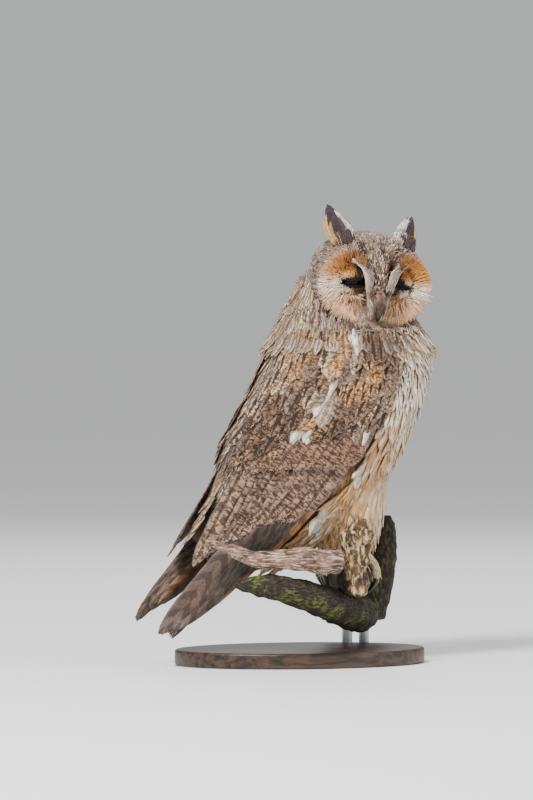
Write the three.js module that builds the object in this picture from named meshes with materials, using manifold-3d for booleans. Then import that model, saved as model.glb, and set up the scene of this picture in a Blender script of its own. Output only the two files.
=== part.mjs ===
// A long-eared owl at rest on a broken limb, life size, in millimetres, +Z up.
// The body faces +X with its mid-plane at Y = 0, and the head is turned to the bird's right, towards -Y.
// The origin is the middle of the underside of the display base.
import * as THREE from "three";
import { mergeVertices } from "three/addons/utils/BufferGeometryUtils.js";
import Module from "manifold-3d";

const wasm = await Module();
wasm.setup();

// Driving sizes
const gap = 0.3; // air between touching pieces
const wingThickness = 5.3; // skin of the folded wing's core
const pocketDepth = wingThickness + 2.5 * gap;
const eyeRadius = 9.3;
const lidInner = eyeRadius + gap;
const lidOuter = lidInner + 1.4;
const eyeForward = 17.5;
const eyeAside = 18.5;
const limbRadius = 14.5;
const toeRadius = 4.3;
const baseThickness = 12;
const perchFoot = 30; // height of the trunk's sawn lower face
const rodRadius = 4;

// Sections of the plumage from the nape to the tips of the folded wings: place of the middle,
// how far the section dips towards the belly, half depth from back to belly, half width.
const coatSections = [
  { x: 48, z: 303, dip: 0, depth: 38, width: 38 },
  { x: 42, z: 283, dip: 0, depth: 48, width: 46 },
  { x: 41, z: 261, dip: 0, depth: 55, width: 46 },
  { x: 39, z: 238, dip: 0, depth: 63, width: 55 },
  { x: 33, z: 215, dip: 2, depth: 67, width: 57 },
  { x: 24, z: 192, dip: 5, depth: 68, width: 57 },
  { x: 12, z: 168, dip: 10, depth: 67, width: 54 },
  { x: -4, z: 140, dip: 18, depth: 60, width: 49 },
  { x: -28, z: 110, dip: 27, depth: 46, width: 41 },
  { x: -54, z: 82, dip: 36, depth: 30, width: 33 },
  { x: -80, z: 56, dip: 42, depth: 17, width: 27 },
  { x: -102, z: 33, dip: 45, depth: 8, width: 22 },
  { x: -113, z: 20, dip: 45, depth: 3.5, width: 16 },
];

// The belly and thighs below the folded wings, by height.
const bellySections = [
  { z: 176, x: 27, depth: 46, width: 42 },
  { z: 150, x: 27, depth: 46, width: 43 },
  { z: 124, x: 34, depth: 35, width: 38 },
  { z: 106, x: 37, depth: 25, width: 31 },
  { z: 98, x: 38, depth: 15, width: 22 },
];

// The neck stands behind the turned face, by height.
const neckSections = [
  { z: 255.7, x: 40.5, y: 1, depth: 56, width: 45 },
  { z: 262, x: 40.5, y: 4, depth: 53, width: 40 },
  { z: 270, x: 41, y: 7, depth: 49, width: 35 },
  { z: 281, x: 41, y: 9, depth: 44, width: 31 },
  { z: 292, x: 43, y: 10, depth: 39, width: 27 },
  { z: 303, x: 47, y: 9, depth: 32, width: 23 },
];

const headPlace = { x: 50, y: -9, z: 293, turn: -90, nod: 8, roll: -5 };

const colours = {
  breast: 0xcdb79a,
  crown: 0x9a8571,
  face: 0xc98f52,
  wing: 0x7f6450,
  tail: 0x6d5646,
  tuft: 0x3a2c2a,
  leg: 0xd2ab74,
  horn: 0x1d1a1b,
  eye: 0x0c0a0a,
  lid: 0x4a3b33,
  bark: 0x5b4a3a,
  weathered: 0x9a8680,
  burr: 0xb99a70,
  moss: 0x5f6a2e,
  plinth: 0x2d2622,
  steel: 0xa7a9ab,
};

const finishes = {};
for (const [name, colour] of Object.entries(colours)) {
  const metal = name === "steel";
  finishes[name] = new THREE.MeshStandardMaterial({
    color: colour,
    roughness: metal ? 0.35 : 0.85,
    metalness: metal ? 1 : 0,
  });
}

// Small mathematics

const point = (x, y, z) => new THREE.Vector3(x, y, z);
const radians = THREE.MathUtils.degToRad;
const lerp = THREE.MathUtils.lerp;
const smooth = THREE.MathUtils.smoothstep;

// Reads a table of sections at a fractional row, on a smooth curve through the rows.
function readRow(rows, t) {
  const last = rows.length - 1;
  const i = Math.min(Math.max(Math.floor(t), 0), last - 1);
  const f = Math.min(Math.max(t - i, 0), 1);
  const row = (k) => rows[Math.min(Math.max(k, 0), last)];
  const result = {};
  for (const key of Object.keys(rows[0])) {
    const [a, b, c, d] = [row(i - 1)[key], row(i)[key], row(i + 1)[key], row(i + 2)[key]];
    const cubic = -a + 3 * b - 3 * c + d;
    const square = 2 * a - 5 * b + 4 * c - d;
    result[key] = b + 0.5 * f * (c - a + f * (square + f * cubic));
  }
  return result;
}

// A small repeatable wobble from -1 to 1 for a place along and round a piece.
function wobble(a, b, seed) {
  return 0.5 * Math.sin(a * 2.1 + seed) + 0.3 * Math.sin(b * 3 + a * 1.3 + seed * 2) + 0.2 * Math.sin(b * 5 - a * 3.7);
}

// Solids

// A closed body through rings of the same number of points, with a fan at each end. The strips listed in
// turned are split along their other diagonal.
function loft(rings, { turned = [] } = {}) {
  const around = rings[0].length;
  const corners = rings.flat();
  const faces = [];
  for (let i = 0; i + 1 < rings.length; i++) {
    for (let j = 0; j < around; j++) {
      const a = i * around + j;
      const b = i * around + ((j + 1) % around);
      if (turned.includes(j)) {
        faces.push(a, b, a + around, b, b + around, a + around);
      } else {
        faces.push(a, b, b + around, a, b + around, a + around);
      }
    }
  }
  for (const [ring, start, flip] of [
    [rings[0], 0, true],
    [rings.at(-1), (rings.length - 1) * around, false],
  ]) {
    const middle = ring.reduce((sum, p) => sum.add(p), point(0, 0, 0)).divideScalar(around);
    corners.push(middle);
    for (let j = 0; j < around; j++) {
      const a = start + j;
      const b = start + ((j + 1) % around);
      faces.push(...(flip ? [b, a, corners.length - 1] : [a, b, corners.length - 1]));
    }
  }
  const geometry = new THREE.BufferGeometry().setFromPoints(corners);
  geometry.setIndex(faces);
  return solidOf(geometry);
}

// A three.js geometry as a manifold solid, with its faces turned outwards.
function solidOf(geometry) {
  const bare = geometry.clone();
  for (const name of ["normal", "uv"]) {
    bare.deleteAttribute(name);
  }
  const welded = mergeVertices(bare, 1e-4);
  const corners = welded.attributes.position.array;
  const faces = new Uint32Array(welded.index.array);
  const corner = (i) => point(corners[3 * i], corners[3 * i + 1], corners[3 * i + 2]);
  let volume = 0;
  for (let i = 0; i < faces.length; i += 3) {
    volume += corner(faces[i]).dot(corner(faces[i + 1]).cross(corner(faces[i + 2])));
  }
  if (volume < 0) {
    for (let i = 0; i < faces.length; i += 3) {
      [faces[i + 1], faces[i + 2]] = [faces[i + 2], faces[i + 1]];
    }
  }
  return new wasm.Manifold(new wasm.Mesh({ numProp: 3, vertProperties: corners, triVerts: faces }));
}

function join(solids) {
  return wasm.Manifold.union(solids);
}

// The same solid with every corner moved out along its normal.
function grown(solid, by = gap) {
  const made = solid.getMesh();
  const geometry = new THREE.BufferGeometry();
  geometry.setAttribute("position", new THREE.BufferAttribute(new Float32Array(made.vertProperties), 3));
  geometry.setIndex(new THREE.BufferAttribute(new Uint32Array(made.triVerts), 1));
  geometry.computeVertexNormals();
  const place = geometry.attributes.position;
  const normal = geometry.attributes.normal;
  for (let i = 0; i < place.count; i++) {
    place.setXYZ(
      i,
      place.getX(i) + by * normal.getX(i),
      place.getY(i) + by * normal.getY(i),
      place.getZ(i) + by * normal.getZ(i),
    );
  }
  return solidOf(geometry);
}

function largest(solid) {
  const bodies = solid.decompose();
  return bodies.reduce((best, body) => (body.volume() > best.volume() ? body : best));
}

const root = new THREE.Group();

// Adds one named piece made of the solid's largest closed surface.
function addPiece(name, solid, finish, parent = root) {
  const made = largest(solid).getMesh();
  const geometry = new THREE.BufferGeometry();
  geometry.setAttribute("position", new THREE.BufferAttribute(new Float32Array(made.vertProperties), 3));
  geometry.setIndex(new THREE.BufferAttribute(new Uint32Array(made.triVerts), 1));
  const mesh = new THREE.Mesh(geometry, finishes[finish]);
  mesh.name = name;
  parent.add(mesh);
  return mesh;
}

function ball(centre, radii, around = 16, along = 10) {
  const geometry = new THREE.SphereGeometry(1, around, along);
  geometry.scale(...radii);
  geometry.translate(centre.x, centre.y, centre.z);
  return solidOf(geometry);
}

// A tapered tube along a smooth path, with rough bark where roughness is above zero.
function limb(stops, { steps = 10, around = 10, roughness = 0, seed = 0, flat = 1 } = {}) {
  const curve = new THREE.CatmullRomCurve3(stops.map((s) => point(...s.at)));
  const frames = curve.computeFrenetFrames(steps, false);
  const rings = [];
  for (let i = 0; i <= steps; i++) {
    const f = i / steps;
    const centre = curve.getPoint(f);
    const radius = readRow(
      stops.map((s) => ({ r: s.radius })),
      f * (stops.length - 1),
    ).r;
    const ring = [];
    for (let j = 0; j < around; j++) {
      const angle = (2 * Math.PI * j) / around;
      const reach = radius * (1 + roughness * wobble(i * 0.9, angle, seed));
      ring.push(
        centre
          .clone()
          .addScaledVector(frames.normals[i], reach * Math.cos(angle))
          .addScaledVector(frames.binormals[i], reach * flat * Math.sin(angle)),
      );
    }
    rings.push(ring);
  }
  return loft(rings);
}

// The plumage surface

// How far the left wing's long feathers stand off the back, behind the right wing's.
function standOff(t, side) {
  return side > 0 ? 15 * smooth(t, 7, 10) : 0;
}

// A point of the plumage at row t, turned from the belly (0) to the back (180), on the side -1 right or +1 left.
function coatPoint(t, turn, lift, side) {
  const row = readRow(coatSections, t);
  const dip = radians(row.dip);
  const angle = radians(turn);
  const ventral = point(Math.cos(dip), 0, -Math.sin(dip));
  const centre = point(row.x, 0, row.z).addScaledVector(ventral, -standOff(t, side));
  return centre
    .addScaledVector(ventral, (row.depth + lift) * Math.cos(angle))
    .add(point(0, side * (row.width + lift) * Math.sin(angle), 0));
}

function coatNormal(t, turn, side) {
  const step = 0.05;
  const along = coatPoint(t + step, turn, 0, side).sub(coatPoint(t - step, turn, 0, side));
  const round = coatPoint(t, turn + 1, 0, side).sub(coatPoint(t, turn - 1, 0, side));
  const normal = along.cross(round).normalize();
  const row = readRow(coatSections, t);
  const out = coatPoint(t, turn, 0, side).sub(point(row.x, 0, row.z));
  return normal.dot(out) < 0 ? normal.negate() : normal;
}

// One vane: a thin blade with a ridge for its shaft, through stations of centre, across, normal and half width.
function blade(stations, { thickness = 1.3, edge = 0.6, bend = 45 } = {}) {
  const rings = stations.map(({ centre, across, normal, half }) => {
    const droop = (half * half) / (2 * bend);
    const at = (side, height) =>
      centre
        .clone()
        .addScaledVector(across, side * half)
        .addScaledVector(normal, height - Math.abs(side) * droop);
    return [
      at(-1, -edge / 2),
      at(1, -edge / 2),
      at(1, edge / 2),
      at(0, thickness - edge / 2),
      at(-1, edge / 2),
    ];
  });
  return loft(rings, { turned: [0] }); // the underside is split the way the top is
}

// The width of a vane from its root (0) to its rounded tip (1).
function vaneShape(s) {
  const root = lerp(0.55, 1, smooth(s, 0, 0.45));
  const tip = Math.sqrt(Math.max(1 - Math.pow(Math.max(s - 0.62, 0) / 0.4, 2), 0.06));
  return root * tip;
}

// A vane laid on the plumage from one place to another, lifted more at its tip so that rows overlap,
// and turned a little about its shaft so that its edge on the belly's side lies over the next vane.
// Vanes with a plane lie in one bundle: all face the same way, which turns from the plane's first value to its last.
function coatVane(from, to, width, side, { cuts = 4, thickness = 1.3, bend = 45, tilt = 9, plane } = {}) {
  const stations = [];
  const facing = (s) => {
    const turn = plane ? lerp(plane.from, plane.to, s) : lerp(from.turn, to.turn, s);
    return coatNormal(lerp(from.t, to.t, s), turn, side);
  };
  const place = (s) =>
    coatPoint(lerp(from.t, to.t, s), lerp(from.turn, to.turn, s), 0, side).addScaledVector(
      facing(s),
      lerp(from.lift, to.lift, smooth(s, 0, 0.45)),
    );
  for (let i = 0; i <= cuts; i++) {
    const s = Math.sin((0.5 * Math.PI * i) / cuts); // stations lie closer together at the rounded tip
    const centre = place(s);
    const heading = place(s + 0.02).sub(place(s - 0.02)).normalize();
    const across = facing(s).cross(heading).normalize();
    const tilted = across.applyAxisAngle(heading, radians(side * tilt));
    stations.push({
      centre,
      across: tilted,
      normal: heading.clone().cross(tilted).normalize(),
      half: (width / 2) * vaneShape(s),
    });
  }
  return blade(stations, { thickness, bend });
}

// A row of vanes from a first to a last one, evenly spaced, each a little different.
function vaneRow({ count, first, last, width, ...shape }, side) {
  const vanes = [];
  for (let i = 0; i < count; i++) {
    const f = count === 1 ? 0 : i / (count - 1);
    const vary = 0.12 * Math.sin(i * 2.7 + side);
    const mix = (a, b) => ({
      t: lerp(a.t, b.t, f) + vary,
      turn: lerp(a.turn, b.turn, f),
      lift: lerp(a.lift, b.lift, f),
    });
    vanes.push(coatVane(mix(first.from, last.from), mix(first.to, last.to), width, side, shape));
  }
  return vanes;
}

// The feather rows of one folded wing, from the long primaries out to the scapulars that cover them.
const wingRows = {
  primaries: {
    count: 6,
    width: 17,
    cuts: 4,
    thickness: 1.2,
    tilt: 4,
    plane: { from: 91, to: 118 },
    first: { from: { t: 6.7, turn: 76, lift: -3 }, to: { t: 10.9, turn: 94, lift: -3.5 } },
    last: { from: { t: 6.9, turn: 106, lift: -2.5 }, to: { t: 11.85, turn: 138, lift: 5 } },
  },
  secondaries: {
    count: 7,
    width: 22,
    cuts: 3,
    first: { from: { t: 5.6, turn: 80, lift: -2 }, to: { t: 7.6, turn: 84, lift: 2 } },
    last: { from: { t: 6.2, turn: 146, lift: -2 }, to: { t: 9.8, turn: 160, lift: 3 } },
  },
  greaterCoverts: {
    count: 6,
    width: 19,
    cuts: 3,
    first: { from: { t: 4.6, turn: 75, lift: -2 }, to: { t: 6.5, turn: 76, lift: 3.4 } },
    last: { from: { t: 5.2, turn: 122, lift: -2 }, to: { t: 7.2, turn: 132, lift: 3.6 } },
  },
  medianCoverts: {
    count: 3,
    width: 25,
    cuts: 3,
    first: { from: { t: 3.6, turn: 76, lift: -2 }, to: { t: 5.2, turn: 77, lift: 4.4 } },
    last: { from: { t: 4, turn: 108, lift: -2 }, to: { t: 5.6, turn: 112, lift: 4.6 } },
  },
  outerScapulars: {
    count: 4,
    width: 24,
    cuts: 3,
    first: { from: { t: 2.7, turn: 108, lift: -2 }, to: { t: 4.4, turn: 106, lift: 4.6 } },
    last: { from: { t: 5.3, turn: 126, lift: -2 }, to: { t: 7.1, turn: 130, lift: 5.4 } },
  },
  innerScapulars: {
    count: 4,
    width: 25,
    cuts: 3,
    first: { from: { t: 3.3, turn: 134, lift: -2 }, to: { t: 4.9, turn: 136, lift: 3.8 } },
    last: { from: { t: 5.5, turn: 160, lift: -2 }, to: { t: 7.3, turn: 160, lift: 4.6 } },
  },
};

// The core of a folded wing: a curved shell on the side of the body that every vane is rooted in.
function wingCore(side) {
  const rows = 9;
  const columns = 6;
  const corner = (i, j, lift) => {
    const t = lerp(2.7, 9.2, i / rows);
    const front = lerp(72, 90, smooth(t, 6.5, 8.5));
    const back = lerp(lerp(130, 166, smooth(t, 2.5, 4.6)), 150, smooth(t, 7, 9));
    return coatPoint(t, lerp(front, back, j / columns), lift, side);
  };
  const rings = [];
  for (let i = 0; i <= rows; i++) {
    const rim = i === 0 || i === rows ? 0.35 : 1;
    const middle = -wingThickness / 2;
    const half = (wingThickness / 2) * rim;
    const thin = lerp(1, 0.4, smooth(i / rows, 0.75, 1));
    const ring = [];
    for (let j = 0; j <= columns; j++) {
      const edge = j === 0 || j === columns ? 0.35 : 1;
      ring.push(corner(i, j, middle + half * edge * thin));
    }
    for (let j = columns; j >= 0; j--) {
      const edge = j === 0 || j === columns ? 0.35 : 1;
      ring.push(corner(i, j, middle - half * edge * thin));
    }
    rings.push(ring);
  }
  return loft(rings);
}

function foldedWing(side) {
  const vanes = Object.values(wingRows).flatMap((row) => vaneRow(row, side));
  return join([wingCore(side), ...vanes]);
}

// Body

// How far the bare body lies under the plumage surface: a pocket on each side holds the folded wing.
function pocket(t, turn) {
  const round = smooth(turn, 50, 64) * smooth(t, 1.9, 2.5);
  const rump = 6 * smooth(t, 6.8, 9) * smooth(turn, 30, 60);
  return pocketDepth * round + rump;
}

function torso() {
  const around = 28;
  const rings = [];
  for (const t of [2.25, 2.6, 3, 3.6, 4.3, 5, 5.7, 6.4, 7.1, 7.8, 8.4, 9]) {
    const ring = [];
    for (let j = 0; j < around; j++) {
      const angle = (360 * j) / around;
      const side = angle > 180 ? 1 : -1;
      const turn = angle > 180 ? 360 - angle : angle;
      const taper = 1 - 0.35 * smooth(t, 8, 9.2);
      const row = readRow(coatSections, t);
      const dip = radians(row.dip);
      const inset = pocket(t, turn);
      ring.push(
        point(
          row.x + Math.cos(dip) * (row.depth - inset) * taper * Math.cos(radians(turn)),
          side * (row.width - inset) * taper * Math.sin(radians(turn)),
          row.z - Math.sin(dip) * (row.depth - inset) * taper * Math.cos(radians(turn)),
        ),
      );
    }
    rings.push(ring);
  }
  const bellyRings = bellySections.map(({ z, x, depth, width }) =>
    Array.from({ length: 20 }, (_, j) => {
      const angle = (2 * Math.PI * j) / 20;
      return point(x + depth * Math.cos(angle), width * Math.sin(angle), z);
    }),
  );
  return join([loft(rings), loft(bellyRings)]);
}

function neck() {
  const around = 20;
  return loft(
    neckSections.map(({ z, x, y, depth, width }) =>
      Array.from({ length: around }, (_, j) => {
        const angle = (2 * Math.PI * j) / around;
        return point(x + depth * Math.cos(angle), y + width * Math.sin(angle), z);
      }),
    ),
  );
}

// Head, in its own frame: +X out of the face, +Y to the bird's left, +Z up

const headSections = [
  { x: -38, width: 9, height: 9, z: 2 },
  { x: -35, width: 22, height: 20, z: 2 },
  { x: -26, width: 35, height: 29, z: 2 },
  { x: -12, width: 43, height: 34, z: 1.5 },
  { x: 3, width: 46, height: 35.5, z: 0 },
  { x: 14, width: 46.5, height: 35.5, z: -1 },
  { x: 21, width: 44.5, height: 33.5, z: -1.5 },
  { x: 24, width: 40, height: 30, z: -2 },
  { x: 21, width: 32, height: 23, z: -2 },
  { x: 18, width: 18, height: 14, z: -2 },
  { x: 17, width: 4, height: 4, z: -2 },
];

function headBall() {
  const around = 24;
  return loft(
    headSections.map(({ x, width, height, z }) =>
      Array.from({ length: around }, (_, j) => {
        const angle = (2 * Math.PI * j) / around;
        return point(x, width * Math.cos(angle), z + height * Math.sin(angle));
      }),
    ),
  );
}

// The room that the neck and the shoulders leave for the head: its outline, open in front of the face.
function headRoom() {
  const around = 16;
  const slack = 1.6;
  const sections = [
    ...headSections.filter((row) => row.x < 20),
    { x: 26, width: 46, height: 34, z: -1 },
    { x: 60, width: 42, height: 26, z: 6 },
  ];
  return loft(
    sections.slice(0, 6).concat(sections.slice(-2)).map(({ x, width, height, z }) =>
      Array.from({ length: around }, (_, j) => {
        const angle = (2 * Math.PI * j) / around;
        return point(x, (width + slack) * Math.cos(angle), z + (height + slack) * Math.sin(angle));
      }),
    ),
  );
}

// The forehead runs down between the eyes as a wedge and ends in the bristles round the bill.
function foreheadWedge() {
  return limb(
    [
      { at: [6, 0, 25], radius: 13 },
      { at: [18, 0, 17], radius: 10.5 },
      { at: [25, 0, 6], radius: 8 },
      { at: [27, 0, -8], radius: 7 },
      { at: [26, 0, -20], radius: 7.5 },
      { at: [21, 0, -29], radius: 5 },
    ],
    { steps: 6, around: 10 },
  );
}

function brow(side) {
  return limb(
    [
      { at: [28, side * 5, -14], radius: 3 },
      { at: [30.5, side * 8, -3], radius: 3.4 },
      { at: [30, side * 12, 9], radius: 3.6 },
      { at: [26, side * 18, 18], radius: 3 },
      { at: [21, side * 24, 22], radius: 1.4 },
    ],
    { steps: 6, around: 6 },
  );
}

// Lids are caps of a thin shell round the eye, cut along the opening.
function lidShell(side, slitTilt, from, to) {
  const centre = point(eyeForward, side * eyeAside, 0);
  const shell = ball(centre, [lidOuter, lidOuter, lidOuter], 12, 8).subtract(
    ball(centre, [lidInner, lidInner, lidInner], 12, 8),
  );
  const keep = new THREE.BoxGeometry(30, 40, to - from);
  keep.translate(15 + 1, 0, (from + to) / 2);
  keep.rotateX(radians(slitTilt));
  keep.translate(centre.x, centre.y, centre.z);
  return shell.intersect(solidOf(keep));
}

function beakUpper(extra = 0) {
  return limb(
    [
      { at: [27, 0, -7], radius: 4.6 + extra },
      { at: [32, 0, -11], radius: 4.8 + extra },
      { at: [35.5, 0, -18], radius: 3.8 + extra },
      { at: [35.5, 0, -25], radius: 2.3 + extra },
      { at: [34, 0, -29], radius: 0.7 + extra },
    ],
    { steps: 6, around: 8 },
  );
}

function beakLower(extra = 0) {
  return limb(
    [
      { at: [25, 0, -19], radius: 3.4 + extra },
      { at: [29, 0, -22], radius: 3 + extra },
      { at: [31.2, 0, -25.5], radius: 1.2 + extra },
    ],
    { steps: 3, around: 6 },
  );
}

// One ear tuft: a fan of long feathers from a short core, leaning back and out.
function earTuft(side) {
  const lean = side < 0 ? { back: -0.5, aside: 0.3, up: 0.8 } : { back: -0.55, aside: 0.42, up: 0.7 };
  const rise = point(lean.back, side * lean.aside, lean.up).normalize();
  const face = point(1, 0, 0);
  const normal = face.clone().addScaledVector(rise, -face.dot(rise)).normalize();
  const across = normal.clone().cross(rise).normalize();
  const foot = point(7, side * 25, 29);
  const feathers = [];
  const count = 5;
  for (let i = 0; i < count; i++) {
    const f = i / (count - 1);
    const spread = lerp(-1, 1, f);
    const length = 47 - 11 * Math.abs(spread - 0.15) - 6 * Math.max(spread, 0);
    const stations = [];
    for (let k = 0; k <= 3; k++) {
      const s = k / 3;
      const bow = spread * (9.5 * (1 - s) + 1.5 * s + 4.5 * Math.sin(Math.PI * Math.min(s * 1.1, 1)));
      stations.push({
        centre: foot
          .clone()
          .addScaledVector(rise, length * s - 8)
          .addScaledVector(across, bow * side * -1)
          .addScaledVector(normal, 2.1 * (i % 2) - 4 * s * s - 1),
        across,
        normal,
        half: 4.6 * vaneShape(lerp(0.2, 1, s)),
      });
    }
    feathers.push(blade(stations, { thickness: 1.6, edge: 0.7, bend: 14 }));
  }
  const core = limb(
    [
      { at: foot.clone().addScaledVector(rise, -8).toArray(), radius: 9.5 },
      { at: foot.clone().addScaledVector(rise, 2).toArray(), radius: 8 },
      { at: foot.clone().addScaledVector(rise, 11).toArray(), radius: 3.5 },
    ],
    { steps: 2, around: 8, flat: 0.5 },
  );
  return join([core, ...feathers]);
}

function buildHead(headGroup) {
  const eyes = [-1, 1].map((side) => ball(point(eyeForward, side * eyeAside, 0), Array(3).fill(eyeRadius), 14, 8));
  const sockets = [-1, 1].map((side) =>
    ball(point(eyeForward, side * eyeAside, 0), Array(3).fill(lidOuter + gap), 12, 8),
  );
  const cheeks = [-1, 1].map((side) => ball(point(14.5, side * 19, -0.5), [13.5, 15, 14], 12, 8));
  const upper = beakUpper();
  const nostrils = [-1, 1].map((side) => ball(point(34.5, side * 3.6, -12.5), [1.3, 1.1, 1.3], 6, 4));
  const face = join([headBall(), foreheadWedge(), brow(-1), brow(1), ...cheeks]);
  const head = wasm.Manifold.difference([face, ...sockets, beakUpper(gap), beakLower(gap)]);
  addPiece("head", head, "crown", headGroup);
  addPiece("beak_upper", wasm.Manifold.difference([upper, ...nostrils]), "horn", headGroup);
  addPiece("beak_lower", beakLower().subtract(beakUpper(gap)), "horn", headGroup);
  for (const [side, name, opening] of [
    [-1, "right", 1.9],
    [1, "left", 0.25],
  ]) {
    const tilt = side * -6;
    const centreHeight = -1.5;
    addPiece(`eye_${name}`, eyes[side < 0 ? 0 : 1], "eye", headGroup);
    const upperLid = lidShell(side, tilt, centreHeight + opening, lidOuter + 1);
    const lowerLid = lidShell(side, tilt, -lidOuter - 1, centreHeight - opening);
    addPiece(`lid_${name}_upper`, upperLid.subtract(grown(face.intersect(upper))), "lid", headGroup);
    addPiece(`lid_${name}_lower`, lowerLid, "lid", headGroup);
    addPiece(`ear_tuft_${name}`, earTuft(side).subtract(grown(head)), "tuft", headGroup);
  }
}

// Legs

// The limb that the feet grip runs across the body, a little askew.
const gripLine = { from: point(27, -46, 66), to: point(48, 42, 66) };

function gripFrame(y) {
  const along = gripLine.to.clone().sub(gripLine.from).normalize();
  const share = (y - gripLine.from.y) / (gripLine.to.y - gripLine.from.y);
  const middle = gripLine.from.clone().lerp(gripLine.to, share);
  const ahead = point(along.y, -along.x, 0);
  return { middle, along, ahead };
}

// A point round the gripped limb: angle 90 is on top, 0 ahead, 180 behind.
function roundLimb(frame, angle, reach, aside) {
  return frame.middle
    .clone()
    .addScaledVector(frame.ahead, reach * Math.cos(radians(angle)))
    .add(point(0, 0, reach * Math.sin(radians(angle))))
    .addScaledVector(frame.along, aside);
}

const toes = [
  { aside: -7.5, start: 84, end: 6, name: "inner" },
  { aside: 2, start: 84, end: -4, name: "middle" },
  { aside: 9, start: 92, end: 172, name: "outer" },
  { aside: -4, start: 98, end: 166, name: "hind" },
];

function buildLeg(side, name, torsoSolid) {
  const frame = gripFrame(side * 18);
  const reach = limbRadius + toeRadius + gap + 0.7;
  const pieces = [];
  for (const toe of toes) {
    const stops = [];
    for (let i = 0; i <= 4; i++) {
      const f = i / 4;
      stops.push({
        at: roundLimb(frame, lerp(toe.start, toe.end, f), reach, side * -toe.aside * lerp(0.5, 1, f)).toArray(),
        radius: toeRadius * lerp(1.05, 0.82, f),
      });
    }
    pieces.push(limb(stops, { steps: 5, around: 7 }));
    const clawStops = [0, 0.35, 0.7, 1].map((f) => {
      const turn = Math.sign(toe.end - toe.start) * lerp(11, 50, f);
      return {
        at: roundLimb(frame, toe.end + turn, reach - lerp(0.3, 2.6, f), side * -toe.aside).toArray(),
        radius: lerp(2.3, 0.5, f),
      };
    });
    addPiece(`claw_${name}_${toe.name}`, limb(clawStops, { steps: 4, around: 6 }), "horn");
  }
  const claws = root.children.filter((c) => c.name.startsWith(`claw_${name}`));
  const pad = ball(roundLimb(frame, 90, reach + 0.6, 0), [8.5, 8, 5.5], 10, 6);
  const cutters = claws.map((c) => grown(solidOf(c.geometry)));
  const foot = wasm.Manifold.difference([join([pad, ...pieces]), ...cutters]);
  addPiece(`foot_${name}`, foot, "leg");
  const ankle = roundLimb(frame, 90, reach + 2, 0);
  const shank = limb(
    [
      { at: ankle.clone().add(point(0, 0, 2.5)).toArray(), radius: 6 },
      { at: ankle.clone().add(point(-1, side * 0.5, 9)).toArray(), radius: 9 },
      { at: ankle.clone().add(point(-3, side * 1, 20)).toArray(), radius: 12 },
    ],
    { steps: 4, around: 10 },
  );
  addPiece(`leg_${name}`, shank.subtract(grown(torsoSolid)).subtract(grown(pad, gap + 0.2)), "leg");
}

// Tail: a closed fan of broad feathers under the wing tips

function tail(torsoSolid) {
  const feathers = [];
  const count = 7;
  const rumpRoot = point(-34, 0, 99);
  const tip = point(-106, 0, 22);
  const heading = tip.clone().sub(rumpRoot).normalize();
  const dorsal = point(heading.z, 0, -heading.x).negate();
  for (let i = 0; i < count; i++) {
    const spread = lerp(-1, 1, i / (count - 1));
    const stations = [];
    for (let k = 0; k <= 4; k++) {
      const s = Math.sin((Math.PI * k) / 8);
      const length = 105 * (1 - 0.06 * spread * spread);
      const across = point(0, 1, 0);
      stations.push({
        centre: rumpRoot
          .clone()
          .addScaledVector(heading, length * s)
          .add(point(0, spread * lerp(7, 13, s), 0))
          .addScaledVector(dorsal, 2.4 - 4.6 * Math.abs(spread) - 1.2 * s),
        across,
        normal: dorsal,
        half: 8.8 * vaneShape(lerp(0.15, 1, s)),
      });
    }
    feathers.push(blade(stations, { thickness: 1.4, bend: 60 }));
  }
  const core = limb(
    [
      { at: rumpRoot.clone().addScaledVector(heading, -2).toArray(), radius: 9 },
      { at: rumpRoot.clone().addScaledVector(heading, 16).toArray(), radius: 8 },
      { at: rumpRoot.clone().addScaledVector(heading, 34).toArray(), radius: 2 },
    ],
    { steps: 5, around: 12 },
  );
  return join([core, ...feathers]).subtract(grown(torsoSolid));
}

// Perch and stand

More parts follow.
